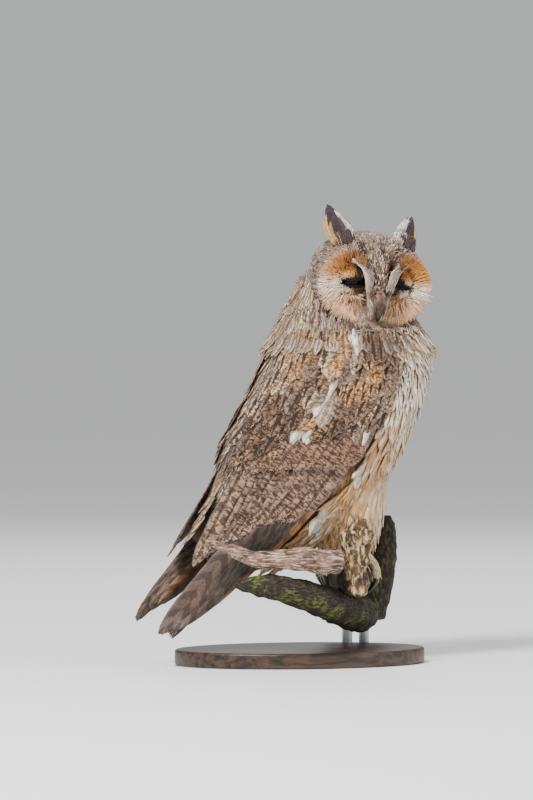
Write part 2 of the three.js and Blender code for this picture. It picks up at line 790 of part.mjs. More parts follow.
function buildPerch() {
  const trunk = limb(
    [
      { at: [88, 48, 110], radius: 4 },
      { at: [88, 48, 100], radius: 8.5 },
      { at: [85, 48, 79], radius: 12 },
      { at: [76, 47, 54], radius: 17 },
      { at: [61, 42, perchFoot], radius: 22 },
    ],
    { steps: 8, around: 12, roughness: 0.12, seed: 1 },
  );
  const floorCut = new THREE.BoxGeometry(240, 240, 60).translate(40, 0, perchFoot - 30);
  const sawnTrunk = trunk.subtract(solidOf(floorCut));
  const grip = limb(
    [
      { at: gripLine.from.toArray(), radius: limbRadius - 1 },
      { at: gripFrame(-18).middle.toArray(), radius: limbRadius },
      { at: gripFrame(18).middle.toArray(), radius: limbRadius },
      { at: gripLine.to.toArray(), radius: limbRadius - 1 },
      { at: [66, 52, 62], radius: limbRadius - 2 },
    ],
    { steps: 8, around: 12, roughness: 0.03, seed: 2 },
  );
  const burr = limb(
    [
      { at: [26, -54, 56], radius: 6 },
      { at: [25, -55, 70], radius: 10 },
      { at: [24, -56, 86], radius: 13 },
      { at: [25, -55, 100], radius: 13.5 },
      { at: [27, -54, 112], radius: 6 },
    ],
    { steps: 8, around: 12, roughness: 0.28, seed: 4, flat: 0.62 },
  );
  const branch = limb(
    [
      { at: [12, -55, 78], radius: 9 },
      { at: [-16, -56, 82], radius: 9.5 },
      { at: [-50, -54, 82], radius: 6.5 },
      { at: [-71, -51, 88], radius: 5 },
      { at: [-93, -48, 96.5], radius: 1.8 },
    ],
    { steps: 10, around: 9, roughness: 0.12, seed: 3 },
  );
  const mossy = limb(
    [
      { at: [56, 16, 36], radius: 14 },
      { at: [38, -14, 38], radius: 13.5 },
      { at: [12, -36, 46], radius: 13 },
      { at: [-22, -48, 57], radius: 11 },
      { at: [-48, -52, 62], radius: 9 },
      { at: [-72, -52, 64], radius: 3 },
    ],
    { steps: 10, around: 12, roughness: 0.16, seed: 6 },
  );
  const grownTrunk = grown(sawnTrunk);
  const grownGrip = grown(grip);
  const sawnBurr = burr.subtract(grownGrip);
  const cutMossy = wasm.Manifold.difference([mossy, grownTrunk, grownGrip, grown(sawnBurr)]);
  addPiece("perch_trunk", sawnTrunk, "bark");
  addPiece("perch_limb", grip.subtract(grownTrunk), "bark");
  addPiece("perch_burr", sawnBurr, "burr");
  addPiece("perch_mossy_limb", cutMossy, "moss");
  const cutBranch = wasm.Manifold.difference([branch, grown(sawnBurr), grownGrip, grown(cutMossy)]);
  addPiece("perch_branch", cutBranch, "weathered");
}

function buildStand() {
  const outline = new THREE.Shape().absellipse(0, 0, 96, 68, 0, 2 * Math.PI);
  const bevel = 2;
  const plate = new THREE.ExtrudeGeometry(outline, {
    depth: baseThickness - 2 * bevel,
    bevelSize: bevel,
    bevelThickness: bevel,
    bevelSegments: 1,
    curveSegments: 12,
  });
  plate.translate(0, 0, bevel);
  addPiece("stand_base", solidOf(plate), "plinth");
  for (const [name, x, y] of [
    ["stand_rod_front", 68, 42],
    ["stand_rod_rear", 52, 36],
  ]) {
    const height = perchFoot - baseThickness - 2 * gap;
    const rod = new THREE.CylinderGeometry(rodRadius, rodRadius, height, 16);
    rod.rotateX(Math.PI / 2);
    rod.translate(x, y, baseThickness + gap + height / 2);
    addPiece(name, solidOf(rod), "steel");
  }
}

// Assembly

const headGroup = new THREE.Group();
headGroup.position.set(headPlace.x, headPlace.y, headPlace.z);
headGroup.rotation.set(radians(headPlace.roll), radians(headPlace.nod), radians(headPlace.turn), "ZYX");
headGroup.updateMatrix();
root.add(headGroup);
buildHead(headGroup);
const headSpace = headRoom().transform(headGroup.matrix.elements);

const torsoSolid = torso().subtract(headSpace);
addPiece("torso", torsoSolid, "breast");
addPiece("neck", neck().subtract(headSpace), "crown");
addPiece("wing_right", foldedWing(-1), "wing");
addPiece("wing_left", foldedWing(1), "wing");
addPiece("tail", tail(torsoSolid), "tail");
buildLeg(-1, "right", torsoSolid);
buildLeg(1, "left", torsoSolid);
buildPerch();
buildStand();

export default root;
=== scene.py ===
import math
import bpy
import numpy as np
from mathutils import Matrix, Vector
from mathutils.bvhtree import BVHTree


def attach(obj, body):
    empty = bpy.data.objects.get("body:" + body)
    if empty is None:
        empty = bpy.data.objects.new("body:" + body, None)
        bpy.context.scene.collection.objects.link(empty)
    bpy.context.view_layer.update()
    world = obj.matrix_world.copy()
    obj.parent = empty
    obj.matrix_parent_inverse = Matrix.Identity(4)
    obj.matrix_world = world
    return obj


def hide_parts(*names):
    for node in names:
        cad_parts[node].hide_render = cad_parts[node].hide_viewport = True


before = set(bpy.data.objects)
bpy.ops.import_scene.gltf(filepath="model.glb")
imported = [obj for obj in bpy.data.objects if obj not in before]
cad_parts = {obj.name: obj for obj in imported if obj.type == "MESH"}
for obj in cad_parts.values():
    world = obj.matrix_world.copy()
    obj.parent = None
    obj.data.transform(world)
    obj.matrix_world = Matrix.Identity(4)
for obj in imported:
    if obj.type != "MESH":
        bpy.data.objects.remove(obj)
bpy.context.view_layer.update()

mm = 0.001
rng = np.random.default_rng(11)
bpy.ops.object.select_all(action="DESELECT")
print("frame loaded", len(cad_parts), "nodes")


# Small helpers

# Every colour is an sRGB hex value, made linear here.
def hexColour(text, alpha=1.0):
    channels = [int(text[i:i + 2], 16) / 255 for i in (1, 3, 5)]
    linear = [c / 12.92 if c <= 0.04045 else ((c + 0.055) / 1.055) ** 2.4 for c in channels]
    return (*linear, alpha)


def tone(text):
    return np.array(hexColour(text)[:3])


def smooth(x, low, high):
    f = np.clip((np.asarray(x, float) - low) / (high - low), 0, 1)
    return f * f * (3 - 2 * f)


def mix(a, b, f):
    return a + (b - a) * f


def unit(v):
    return v / np.maximum(np.linalg.norm(v, axis=-1, keepdims=True), 1e-9)


# Reads a table between its rows along a smooth curve
def readRow(table, t):
    table = np.asarray(table, float)
    t = np.asarray(t, float)
    last = len(table) - 1
    i = np.clip(np.floor(t).astype(int), 0, last - 1)
    f = np.clip(t - i, 0, 1)[..., None]
    row = lambda k: table[np.clip(k, 0, last)]
    a, b, c, d = row(i - 1), row(i), row(i + 1), row(i + 2)
    return b + 0.5 * f * (c - a + f * (2 * a - 5 * b + 4 * c - d + f * (3 * b - a - 3 * c + d)))


# Uneven patches that come out the same each time
def wave(x, y, seed):
    broad = np.sin(x * 1.9 + seed) * np.cos(y * 1.3 + seed * 1.7)
    middling = 0.6 * np.sin(x * 4.1 - y * 2.3 + seed * 2.9)
    fine = 0.4 * np.sin(y * 5.7 + x * 1.1 + seed * 0.7)
    return (broad + middling + fine) / 2


def meshObject(name, points, loops, sizes):
    mesh = bpy.data.meshes.new(name)
    mesh.vertices.add(len(points))
    mesh.vertices.foreach_set("co", np.asarray(points, np.float32).ravel())
    mesh.loops.add(len(loops))
    mesh.loops.foreach_set("vertex_index", np.asarray(loops, np.int32))
    starts = np.concatenate([[0], np.cumsum(sizes)[:-1]])
    mesh.polygons.add(len(sizes))
    mesh.polygons.foreach_set("loop_start", starts.astype(np.int32))
    mesh.polygons.foreach_set("loop_total", np.asarray(sizes, np.int32))
    mesh.update(calc_edges=True)
    piece = bpy.data.objects.new(name, mesh)
    bpy.context.scene.collection.objects.link(piece)
    return piece


def activate(piece):
    bpy.ops.object.select_all(action="DESELECT")
    piece.select_set(True)
    bpy.context.view_layer.objects.active = piece


def smoothFaces(piece):
    piece.data.polygons.foreach_set("use_smooth", np.ones(len(piece.data.polygons), bool))


def applyModifier(piece, kind, **settings):
    activate(piece)
    modifier = piece.modifiers.new(kind.title(), kind)
    for key, value in settings.items():
        setattr(modifier, key, value)
    bpy.ops.object.modifier_apply(modifier=modifier.name)


# Gives a piece its finish and its body, and hides the solids that it replaces
def settle(piece, slot, material, *nodes):
    piece.data.materials.clear()
    piece.data.materials.append(material)
    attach(piece, "root")
    if nodes:
        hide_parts(*nodes)
    return piece


# One closed tube from rows of points, all in mm
def closedLoft(rings):
    count, around = rings.shape[:2]
    points = rings.reshape(-1, 3)
    i, j = np.meshgrid(np.arange(count - 1), np.arange(around), indexing="ij")
    a = i * around + j
    b = i * around + (j + 1) % around
    quads = np.stack([a, b, b + around, a + around], -1).reshape(-1, 4)
    caps = [np.arange(around)[::-1], np.arange(around) + (count - 1) * around]
    loops = np.concatenate([quads.ravel(), *caps])
    sizes = np.concatenate([np.full(len(quads), 4), [around, around]])
    return points, loops, sizes


def joinedLofts(name, lofts):
    points, loops, sizes, shift = [], [], [], 0
    for ringPoints, ringLoops, ringSizes in lofts:
        points.append(ringPoints)
        loops.append(ringLoops + shift)
        sizes.append(ringSizes)
        shift += len(ringPoints)
    piece = meshObject(name, np.concatenate(points) * mm, np.concatenate(loops), np.concatenate(sizes))
    activate(piece)
    bpy.ops.object.mode_set(mode="EDIT")
    bpy.ops.mesh.select_all(action="SELECT")
    bpy.ops.mesh.normals_make_consistent(inside=False)
    bpy.ops.object.mode_set(mode="OBJECT")
    return piece


# Round rings along a bent line of places and radii
def limbRings(stops, steps, around, flat=1.0):
    table = np.array([[*at, radius] for at, radius in stops], float)
    line = readRow(table, np.linspace(0, len(table) - 1, steps + 1))
    centre, radius = line[:, :3], line[:, 3]
    ahead = unit(np.gradient(centre, axis=0))
    side = unit(np.cross(ahead[0], [0.31, 0.2, 0.93]))
    rings = []
    for k in range(steps + 1):
        side = unit(side - ahead[k] * np.dot(side, ahead[k]))
        other = np.cross(ahead[k], side)
        angle = np.linspace(0, 2 * np.pi, around, endpoint=False)[:, None]
        rings.append(centre[k] + radius[k] * (np.cos(angle) * side + flat * np.sin(angle) * other))
    return np.array(rings)


def limbPiece(name, stops, steps=24, around=20, flat=1.0):
    return joinedLofts(name, [closedLoft(limbRings(stops, steps, around, flat))])


# Materials

# A node given as a value stands for its first output in use.
def setInputs(node, inputs):
    for key, value in inputs.items():
        if isinstance(value, bpy.types.Node):
            value = next(output for output in value.outputs if output.enabled)
        if isinstance(value, bpy.types.NodeSocket):
            node.id_data.links.new(value, node.inputs[key])
        else:
            node.inputs[key].default_value = value


def addNode(tree, kind, inputs=None, **settings):
    made = tree.nodes.new("ShaderNode" + kind)
    for key, value in settings.items():
        setattr(made, key, value)
    setInputs(made, inputs or {})
    return made


def newMaterial(name):
    material = bpy.data.materials.new(name)
    material.use_nodes = True
    tree = material.node_tree
    return material, tree, tree.nodes["Principled BSDF"]


# A plain finish whose colour drifts between two tones in soft patches, as wide as given in mm
def twoToneMaterial(name, look):
    material, tree, shader = newMaterial(name)
    where = addNode(tree, "TexCoord").outputs["Object"]
    cloud = addNode(tree, "TexNoise", {"Vector": where, "Scale": 1 / (look["patch"] * mm),
                                       "Detail": look["detail"]})
    colour = addNode(tree, "Mix", {0: cloud, 6: hexColour(look["dark"]), 7: hexColour(look["pale"])},
                     data_type="RGBA")
    setInputs(shader, {"Base Color": colour, "Roughness": look["roughness"],
                       "Metallic": look.get("metallic", 0.0),
                       "Specular IOR Level": look.get("specular", 0.5)})
    return material


# Contour feathers are keratin barbs hooked into a soft matt vane, so they shine little and show fine ribs.
# Scrawls, bars and barbs are counted along one vane. Flecks are as wide as one or two barbs, in mm.
plumes = dict(
    body=dict(scrawl=(1.6, 9), fleckWidth=1.2, streakWidth=0.2, bars=2.2, barbs=20,
              dark="#33231f", warm="#c79a6c", pale="#f2ebe0"),
    wing=dict(scrawl=(1.7, 17), fleckWidth=0.9, streakWidth=0.22, bars=3.0, barbs=26,
              dark="#24150f", warm="#cf8a50", pale="#ecdcc8"),
    flight=dict(scrawl=(3.0, 70), fleckWidth=1.0, streakWidth=0.01, bars=9.0, barbs=70, wobble=0.03,
                dark="#241a16", warm="#7d6353", pale="#dccdbf"),
    secondary=dict(scrawl=(1.5, 42), fleckWidth=0.9, streakWidth=0.13, bars=5.0, barbs=50,
                   dark="#281a15", warm="#b8907a", pale="#dccdc4"),
    head=dict(scrawl=(1.2, 3.0), fleckWidth=0.8, streakWidth=0.12, bars=1.6, barbs=10,
              dark="#291c1c", warm="#b78f70", pale="#f3ece2"),
    face=dict(scrawl=(1.0, 1.5), fleckWidth=1.5, streakWidth=0.0, bars=1.0, barbs=5,
              dark="#1d1514", warm="#c98a4a", pale="#f6efe4"),
    tuft=dict(scrawl=(1.2, 9), fleckWidth=1.0, streakWidth=0.0, bars=1.0, barbs=30,
              dark="#1d1418", warm="#5a4440", pale="#efe8df"),
)
vaneFinish = dict(roughness=0.72, specular=0.22, sheen=0.12, sheenRoughness=0.5, softPatch=5.5,
                  ribHeight=0.15)


# Each vane reads its own place across (-1 to 1) and along (0 to 1), its tint, and how strongly it is
# streaked, vermiculated, barred and pale-edged.
def featherMaterial(name, look):
    material, tree, shader = newMaterial(name)
    place = addNode(tree, "Attribute", attribute_name="featherPlace").outputs["Vector"]
    tint = addNode(tree, "Attribute", attribute_name="featherTint").outputs["Color"]
    mark = addNode(tree, "Attribute", attribute_name="featherMark")
    where = addNode(tree, "TexCoord").outputs["Object"]
    across, along, seed = addNode(tree, "SeparateXYZ", {0: place}).outputs
    streakMark, scrawlMark, barMark = addNode(tree, "SeparateColor", {0: mark.outputs["Color"]}).outputs
    offCentre = addNode(tree, "Math", {0: across}, operation="ABSOLUTE")
    fleck = addNode(tree, "TexNoise", {"Vector": where, "Scale": 1 / (look["fleckWidth"] * mm),
                                       "Detail": 1.0})
    soft = addNode(tree, "TexNoise", {"Vector": where, "Scale": 1 / (vaneFinish["softPatch"] * mm),
                                      "Detail": 2.0})

    # Vermiculation wanders across the vane, in a lane of its own for each feather.
    lane = addNode(tree, "VectorMath", {0: place, 1: (*look["scrawl"], 40.0)}, operation="MULTIPLY")
    scrawl = addNode(tree, "TexNoise", {"Vector": lane, "Scale": 1.0, "Detail": 2.0, "Roughness": 0.55,
                                        "Distortion": 0.9})
    scrawl = addNode(tree, "MapRange", {0: scrawl, 1: 0.475, 2: 0.525}, interpolation_type="SMOOTHSTEP")

    # The dark streak along the shaft has a ragged edge and narrows to the tip.
    ragged = addNode(tree, "Math", {0: fleck, 1: 0.5, 2: offCentre}, operation="MULTIPLY_ADD")
    taper = addNode(tree, "Math", {0: 1.7, 1: along}, operation="SUBTRACT")
    width = addNode(tree, "Math", {0: taper, 1: look["streakWidth"], 2: 0.31}, operation="MULTIPLY_ADD")
    streak = addNode(tree, "Math", {0: width, 1: ragged}, operation="SUBTRACT")
    streak = addNode(tree, "MapRange", {0: streak, 1: -0.05, 2: 0.1}, interpolation_type="SMOOTHSTEP")

    # Bars bow a little towards the tip.
    bowed = addNode(tree, "Math", {0: offCentre, 1: -0.06, 2: along}, operation="MULTIPLY_ADD")
    uneven = addNode(tree, "Math", {0: soft, 1: look.get("wobble", 0.12), 2: bowed},
                     operation="MULTIPLY_ADD")
    phase = addNode(tree, "Math", {0: seed, 1: 0.6, 2: uneven}, operation="MULTIPLY_ADD")
    bars = addNode(tree, "Math", {0: phase, 1: look["bars"] * 2 * math.pi}, operation="MULTIPLY")
    bars = addNode(tree, "Math", {0: bars}, operation="SINE")
    bars = addNode(tree, "MapRange", {0: bars, 1: -0.1, 2: 0.55}, interpolation_type="SMOOTHSTEP")

    sides = addNode(tree, "MapRange", {0: offCentre, 1: 0.62, 2: 0.98}, interpolation_type="SMOOTHSTEP")
    tip = addNode(tree, "MapRange", {0: along, 1: 0.86, 2: 1.0}, interpolation_type="SMOOTHSTEP")
    edge = addNode(tree, "Math", {0: sides, 1: tip}, operation="MAXIMUM")

    warmth = addNode(tree, "MapRange", {0: soft, 1: 0.35, 2: 0.7}, interpolation_type="SMOOTHSTEP")
    warmth = addNode(tree, "Math", {0: warmth, 1: 0.28}, operation="MULTIPLY")
    colour = addNode(tree, "Mix", {0: warmth, 6: tint, 7: hexColour(look["warm"])}, data_type="RGBA")
    layers = [(edge, mark.outputs["Alpha"], 1.0, "pale"), (scrawl, scrawlMark, 0.93, "dark"),
              (bars, barMark, 0.85, "dark"), (streak, streakMark, 0.95, "dark")]
    for pattern, share, strength, ink in layers:
        mask = addNode(tree, "Math", {0: pattern, 1: share}, operation="MULTIPLY", use_clamp=True)
        mask = addNode(tree, "Math", {0: mask, 1: strength}, operation="MULTIPLY")
        colour = addNode(tree, "Mix", {0: mask, 6: colour, 7: hexColour(look[ink])}, data_type="RGBA")

    # The barbs run outwards and up, each a fine rib that catches the light.
    slant = addNode(tree, "Math", {0: offCentre, 1: 0.35, 2: along}, operation="MULTIPLY_ADD")
    barb = addNode(tree, "Math", {0: slant, 1: look["barbs"] * 2 * math.pi}, operation="MULTIPLY")
    barb = addNode(tree, "Math", {0: barb}, operation="SINE")
    shade = addNode(tree, "Math", {0: barb, 1: 0.05, 2: 0.97}, operation="MULTIPLY_ADD")
    shade = addNode(tree, "Math", {0: fleck, 1: 0.3, 2: shade}, operation="MULTIPLY_ADD")
    shaded = addNode(tree, "VectorMath", {0: colour, 1: shade}, operation="MULTIPLY")
    ribs = addNode(tree, "Bump", {"Height": barb, "Strength": 0.25,
                                  "Distance": vaneFinish["ribHeight"] * mm})
    setInputs(shader, {"Base Color": shaded, "Normal": ribs, "Roughness": vaneFinish["roughness"],
                       "Specular IOR Level": vaneFinish["specular"], "Sheen Weight": vaneFinish["sheen"],
                       "Sheen Roughness": vaneFinish["sheenRoughness"]})
    return material


bodyFeather = featherMaterial("contour_feather_buff", plumes["body"])
wingFeather = featherMaterial("covert_feather_vermiculated", plumes["wing"])
flightFeather = featherMaterial("flight_feather_barred", plumes["flight"])
secondaryFeather = featherMaterial("secondary_feather_greyed", plumes["secondary"])
headFeather = featherMaterial("crown_feather_speckled", plumes["head"])
faceFeather = featherMaterial("disc_bristle_ochre", plumes["face"])
tuftFeather = featherMaterial("ear_tuft_feather_dark", plumes["tuft"])


# Feathers

vanePatch = 0.003  # size of one vane in the unwrapped map
thinSection = np.array([[-1.0, 0.0], [0.0, 1.0], [1.0, 0.0]])
fullSection = np.array([[-1.0, 0.0], [-0.5, 0.8], [0.0, 1.2], [0.5, 0.8], [1.0, 0.0], [0.0, -0.5]])


# Makes one mesh of many vanes. Every array has one row for each feather, and places are in mm.
def growFeathers(name, field, shape):
    roots = np.asarray(field["root"], float)
    count = len(roots)
    normal = unit(np.asarray(field["normal"], float))
    heading = np.asarray(field["heading"], float)
    heading = unit(heading - normal * np.sum(normal * heading, 1, keepdims=True))
    across = np.cross(heading, normal)
    roll = np.radians(field.get("roll", np.zeros(count)))[:, None]
    up = normal * np.cos(roll) - across * np.sin(roll)
    across = across * np.cos(roll) + normal * np.sin(roll)
    length = np.broadcast_to(field["length"], count).astype(float)
    width = np.broadcast_to(field["width"], count).astype(float)
    rise = np.radians(np.broadcast_to(field.get("rise", 7.0), count))
    curl = np.broadcast_to(field.get("curl", 0.0), count).astype(float)
    sway = np.broadcast_to(field.get("sway", 0.0), count).astype(float)
    section = shape.get("section", thinSection)
    rings = shape["rings"]
    s = np.linspace(0, 1, rings) ** shape.get("crowd", 0.85)
    base, swell, end = shape.get("base", 0.45), shape.get("swell", 0.55), shape.get("end", 0.55)
    roundEnd = np.sqrt(np.clip(1 - (np.clip(s - end, 0, 1) / (1 - end)) ** 2, 0.012, 1))
    half = mix(base, 1, smooth(s, 0, swell)) * roundEnd
    jag = 1 + shape.get("jag", 0.12) * rng.standard_normal((count, rings, 2))
    jag[:, 0] = 1
    halfSide = 0.5 * width[:, None, None] * half[None, :, None] * np.clip(jag, 0.35, 1.6)
    forward = length[:, None] * s[None, :]
    height = forward * np.sin(rise)[:, None] - curl[:, None] * forward * s[None, :]
    drift = sway[:, None] * forward * s[None, :]
    centre = (roots[:, None, :] + heading[:, None, :] * (forward * np.cos(rise)[:, None])[..., None]
              + up[:, None, :] * height[..., None] + across[:, None, :] * drift[..., None])
    a, h = section[:, 0], section[:, 1]
    sideHalf = np.where(a[None, None, :] < 0, halfSide[..., :1], halfSide[..., 1:])
    droop = shape.get("droop", 0.16)
    offset = h[None, None, :] * shape.get("thickness", 0.35) - droop * sideHalf * a[None, None, :] ** 2
    points = (centre[:, :, None, :] + across[:, None, None, :] * (sideHalf * a)[..., None]
              + up[:, None, None, :] * offset[..., None])
    around = len(section)
    n, k, m = np.meshgrid(np.arange(count), np.arange(rings - 1), np.arange(around), indexing="ij")
    start = n * rings * around + k * around
    one, two = start + m, start + (m + 1) % around
    quads = np.stack([one, two, two + around, one + around], -1).reshape(-1, 4)
    first = (np.arange(count) * rings * around)[:, None] + np.arange(around)[::-1]
    final = (np.arange(count) * rings * around + (rings - 1) * around)[:, None] + np.arange(around)
    loops = np.concatenate([quads.ravel(), first.ravel(), final.ravel()])
    sizes = np.concatenate([np.full(len(quads), 4), np.full(2 * count, around)])
    flat = points.reshape(-1, 3)
    piece = meshObject(name, flat * mm, loops, sizes)
    placeA = np.broadcast_to(a[None, None, :], (count, rings, around))
    placeS = np.broadcast_to(s[None, :, None], (count, rings, around))
    seeds = np.broadcast_to(rng.random(count)[:, None, None], (count, rings, around))
    place = np.stack([placeA, placeS, seeds], -1).reshape(-1, 3)
    data = piece.data
    data.attributes.new("featherPlace", "FLOAT_VECTOR", "POINT").data.foreach_set("vector", place.ravel())
    per = rings * around
    tint = np.ones((count, 4))
    tint[:, :3] = field["tint"]
    data.attributes.new("featherTint", "FLOAT_COLOR", "POINT").data.foreach_set(
        "color", np.repeat(tint, per, 0).ravel())
    marks = np.zeros((count, 4))
    marks[:] = field["mark"]
    data.attributes.new("featherMark", "FLOAT_COLOR", "POINT").data.foreach_set(
        "color", np.repeat(np.clip(marks, 0, 1), per, 0).ravel())
    corner = np.repeat(np.asarray(field["unwrap"], float), per, 0) * 0.99 + 0.004
    corner = corner + np.stack([place[:, 0] * 0.5, place[:, 1] - 0.5], -1) * vanePatch
    uv = data.uv_layers.new(name="OFBake")
    uv.uv.foreach_set("vector", corner[loops].ravel())
    smoothFaces(piece)
    data.update()
    print(name, count, "feathers", int(np.sum(sizes - 2)), "triangles")
    return piece


def joinFields(fields):
    widths = dict(root=3, normal=3, heading=3, tint=3, mark=4, unwrap=2)
    joined = {}
    for key in [*widths, "length", "width", "rise", "curl", "sway", "roll"]:
        rows = []
        for field in fields:
            count = len(field["root"])
            value = np.asarray(field.get(key, 7.0 if key == "rise" else 0.0), float)
            shape = (count, widths[key]) if key in widths else (count,)
            rows.append(np.broadcast_to(value, shape))
        joined[key] = np.concatenate(rows)
    return joined


def keep(field, mask):
    count = len(field["root"])
    result = {}
    for key, value in field.items():
        value = np.asarray(value, float)
        result[key] = value[mask] if value.ndim and len(value) == count else value
    return result


# The plumage surface, the same one as the solids have: x, z, dip, depth and width from nape to tail tip
coatTable = [
    (48, 303, 0, 38, 38), (42, 283, 0, 48, 46), (41, 261, 0, 55, 46), (39, 238, 0, 63, 55),
    (33, 215, 2, 67, 57), (24, 192, 5, 68, 57), (12, 168, 10, 67, 54), (-4, 140, 18, 60, 49),
    (-28, 110, 27, 46, 41), (-54, 82, 36, 30, 33), (-80, 56, 42, 17, 27), (-102, 33, 45, 8, 22),
    (-113, 20, 45, 3.5, 16),
]


def coatPoint(t, turn, lift, side):
    row = readRow(coatTable, t)
    x, z, dip, depth, width = [row[..., i] for i in range(5)]
    dip, angle = np.radians(dip), np.radians(turn)
    away = np.where(np.asarray(side) > 0, 15 * smooth(t, 7, 10), 0)
    ventral = np.stack([np.cos(dip), 0 * dip, -np.sin(dip)], -1)
    reach = (depth + lift) * np.cos(angle) - away
    centre = np.stack([x, 0 * x, z], -1) + ventral * reach[..., None]
    centre[..., 1] += side * (width + lift) * np.sin(angle)
    return centre


def coatFrame(t, turn, side):
    step = 0.05
    along = unit(coatPoint(t + step, turn, 0, side) - coatPoint(t - step, turn, 0, side))
    around = unit(coatPoint(t, turn + 1, 0, side) - coatPoint(t, turn - 1, 0, side))
    normal = unit(np.cross(along, around))
    row = readRow(coatTable, t)
    middle = np.stack([row[..., 0], 0 * row[..., 0], row[..., 1]], -1)
    outward = coatPoint(t, turn, 0, side) - middle
    flip = np.sign(np.sum(normal * outward, -1, keepdims=True))
    return along, around, normal * np.where(flip == 0, 1, flip)


# Roots in staggered rows on one zone of the plumage surface, about the zone's spacing apart
def coatRoots(zone, side):
    ts, turns = [], []
    t, odd = zone["rows"][0], 0
    first, last = zone["turns"]
    while t < zone["rows"][1]:
        row = readRow(coatTable, t)
        length = np.radians(last - first) * 0.5 * (row[3] + row[4])
        count = max(2, int(length / zone["spacing"]))
        angles = first + (last - first) * (np.arange(count) + 0.5 * odd + 0.25) / count
        ts.append(np.full(count, t))
        turns.append(angles)
        nextRow = readRow(coatTable, t + 0.1)
        t += zone["rowStep"] * 0.1 / max(1.0, math.hypot(nextRow[0] - row[0], nextRow[1] - row[1]))
        odd = 1 - odd
    t = np.concatenate(ts) + rng.normal(0, 0.03, sum(map(len, ts)))
    turn = np.concatenate(turns) + rng.normal(0, 0.12 * zone["spacing"], len(t)) * 60 / 55
    return t, turn, np.full(len(t), side)


# Draws each vane's own length, width, rise and sway from a piece's settings, always in this order
def drawVanes(settings, count):
    drawn = dict(curl=settings["curl"])
    drawn["length"] = rng.uniform(*settings["length"], count)
    drawn["width"] = rng.uniform(*settings["width"], count)
    drawn["rise"] = rng.normal(*settings["rise"], count)
    if "sway" in settings:
        drawn["sway"] = rng.normal(0, settings["sway"], count)
    return drawn


def coatField(t, turn, side, lift, drift=0.0):
    along, around, normal = coatFrame(t, turn, side)
    jitter = rng.normal(0, 0.06, len(t))[:, None]
    unwrap = np.stack([0.5 + side * turn / 360, t / 12], -1)
    return dict(root=coatPoint(t, turn, lift, side), normal=normal, unwrap=np.clip(unwrap, 0.003, 0.997),
                heading=along + around * (drift + jitter))


# Skin

def ellipseRings(rows, around):
    angle = np.linspace(0, 2 * np.pi, around, endpoint=False)
    rings = []
    for z, x, y, depth, width in rows:
        level = np.full(around, z)
        rings.append(np.stack([x + depth * np.cos(angle), y + width * np.sin(angle), level], -1))
    return np.array(rings)


headPlace = dict(at=(50, -9, 293), roll=-5, nod=8, turn=-90)
headTurn = np.array(Matrix.Rotation(math.radians(headPlace["turn"]), 3, "Z")
                    @ Matrix.Rotation(math.radians(headPlace["nod"]), 3, "Y")
                    @ Matrix.Rotation(math.radians(headPlace["roll"]), 3, "X"))


def fromHead(points):
    return np.asarray(points) @ headTurn.T + np.array(headPlace["at"])


def toHead(points):
    return (points - np.array(headPlace["at"])) @ headTurn


def turnHead(directions):
    return np.asarray(directions) @ headTurn.T


headRows = [  # x, half width, half height, z of the middle
    (-38, 9, 9, 2), (-35, 22, 20, 2), (-26, 35, 29, 2), (-12, 43, 34, 1.5), (3, 46, 35.5, 0),
    (14, 46.5, 35.5, -1), (21, 44.5, 33.5, -1.5), (24, 40, 30, -2), (21, 32, 23, -2), (18, 18, 14, -2),
    (17, 4, 4, -2),
]
neckRows = [  # height, forward, aside, depth and width of each ring
    (252, 40, 0, 56, 46), (262, 40.5, 4, 53, 40), (270, 41, 7, 49, 35), (281, 41, 9, 44, 31),
    (292, 43, 10, 39, 27), (303, 47, 9, 32, 23),
]
bellyRows = [(176, 27, 0, 46, 42), (150, 27, 0, 46, 43), (124, 34, 0, 35, 38), (106, 37, 0, 25, 31),
             (98, 38, 0, 15, 22)]
eye = dict(forward=17.5, aside=18.5, radius=9.3)
skinDepth = 3.0  # how far the bare skin lies below the tops of the vanes
skinFinish = dict(voxel=1.7, smoothing=4)
downLook = dict(dark="#4a3a30", pale="#a58a70", patch=2.2, detail=4.0, roughness=0.9)
socket = dict(size=(12.3, 14, 13), at=(14.5, 19, -0.5), segments=32, rings=20, room=1.9)


def headShell(shrink, around=40):
    angle = np.linspace(0, 2 * np.pi, around, endpoint=False)
    rings = []
    for x, width, height, z in readRow(headRows, np.linspace(0, len(headRows) - 1, 41)):
        w, h = max(width - shrink, 1), max(height - shrink, 1)
        inward = shrink * (1 if x > 15 else 0)
        rings.append(np.stack([np.full(around, x - inward), w * np.cos(angle), z + h * np.sin(angle)], -1))
    return fromHead(np.array(rings))


foreheadStops = [((6, 0, 25), 13), ((18, 0, 17), 10.5), ((25, 0, 6), 8), ((27, 0, -8), 7),
                 ((26, 0, -20), 7.5), ((21, 0, -29), 5)]
browHair = [  # forward, aside, up and radius in the head's frame
    (25.5, 22, 15, 2.2), (28.4, 17.5, 14, 3.2), (30.6, 12.5, 9, 3.6), (31.4, 9, -2, 3.2),
    (30.4, 6.5, -14, 2.8), (33, 4.3, -22, 1.8),
]
gripLine = dict(start=np.array([27.0, -46, 66]), end=np.array([48.0, 42, 66]), radius=14.5, toe=4.3)


def gripFrame(y):
    along = unit(gripLine["end"] - gripLine["start"])
    share = (y - gripLine["start"][1]) / (gripLine["end"][1] - gripLine["start"][1])
    middle = mix(gripLine["start"], gripLine["end"], share)
    return middle, along, np.array([along[1], -along[0], 0])


def roundLimb(place, angle, reach, aside):
    middle, along, ahead = place
    turn = math.radians(angle)
    upward = np.array([0, 0, reach * math.sin(turn)])
    return middle + ahead * reach * math.cos(turn) + upward + along * aside


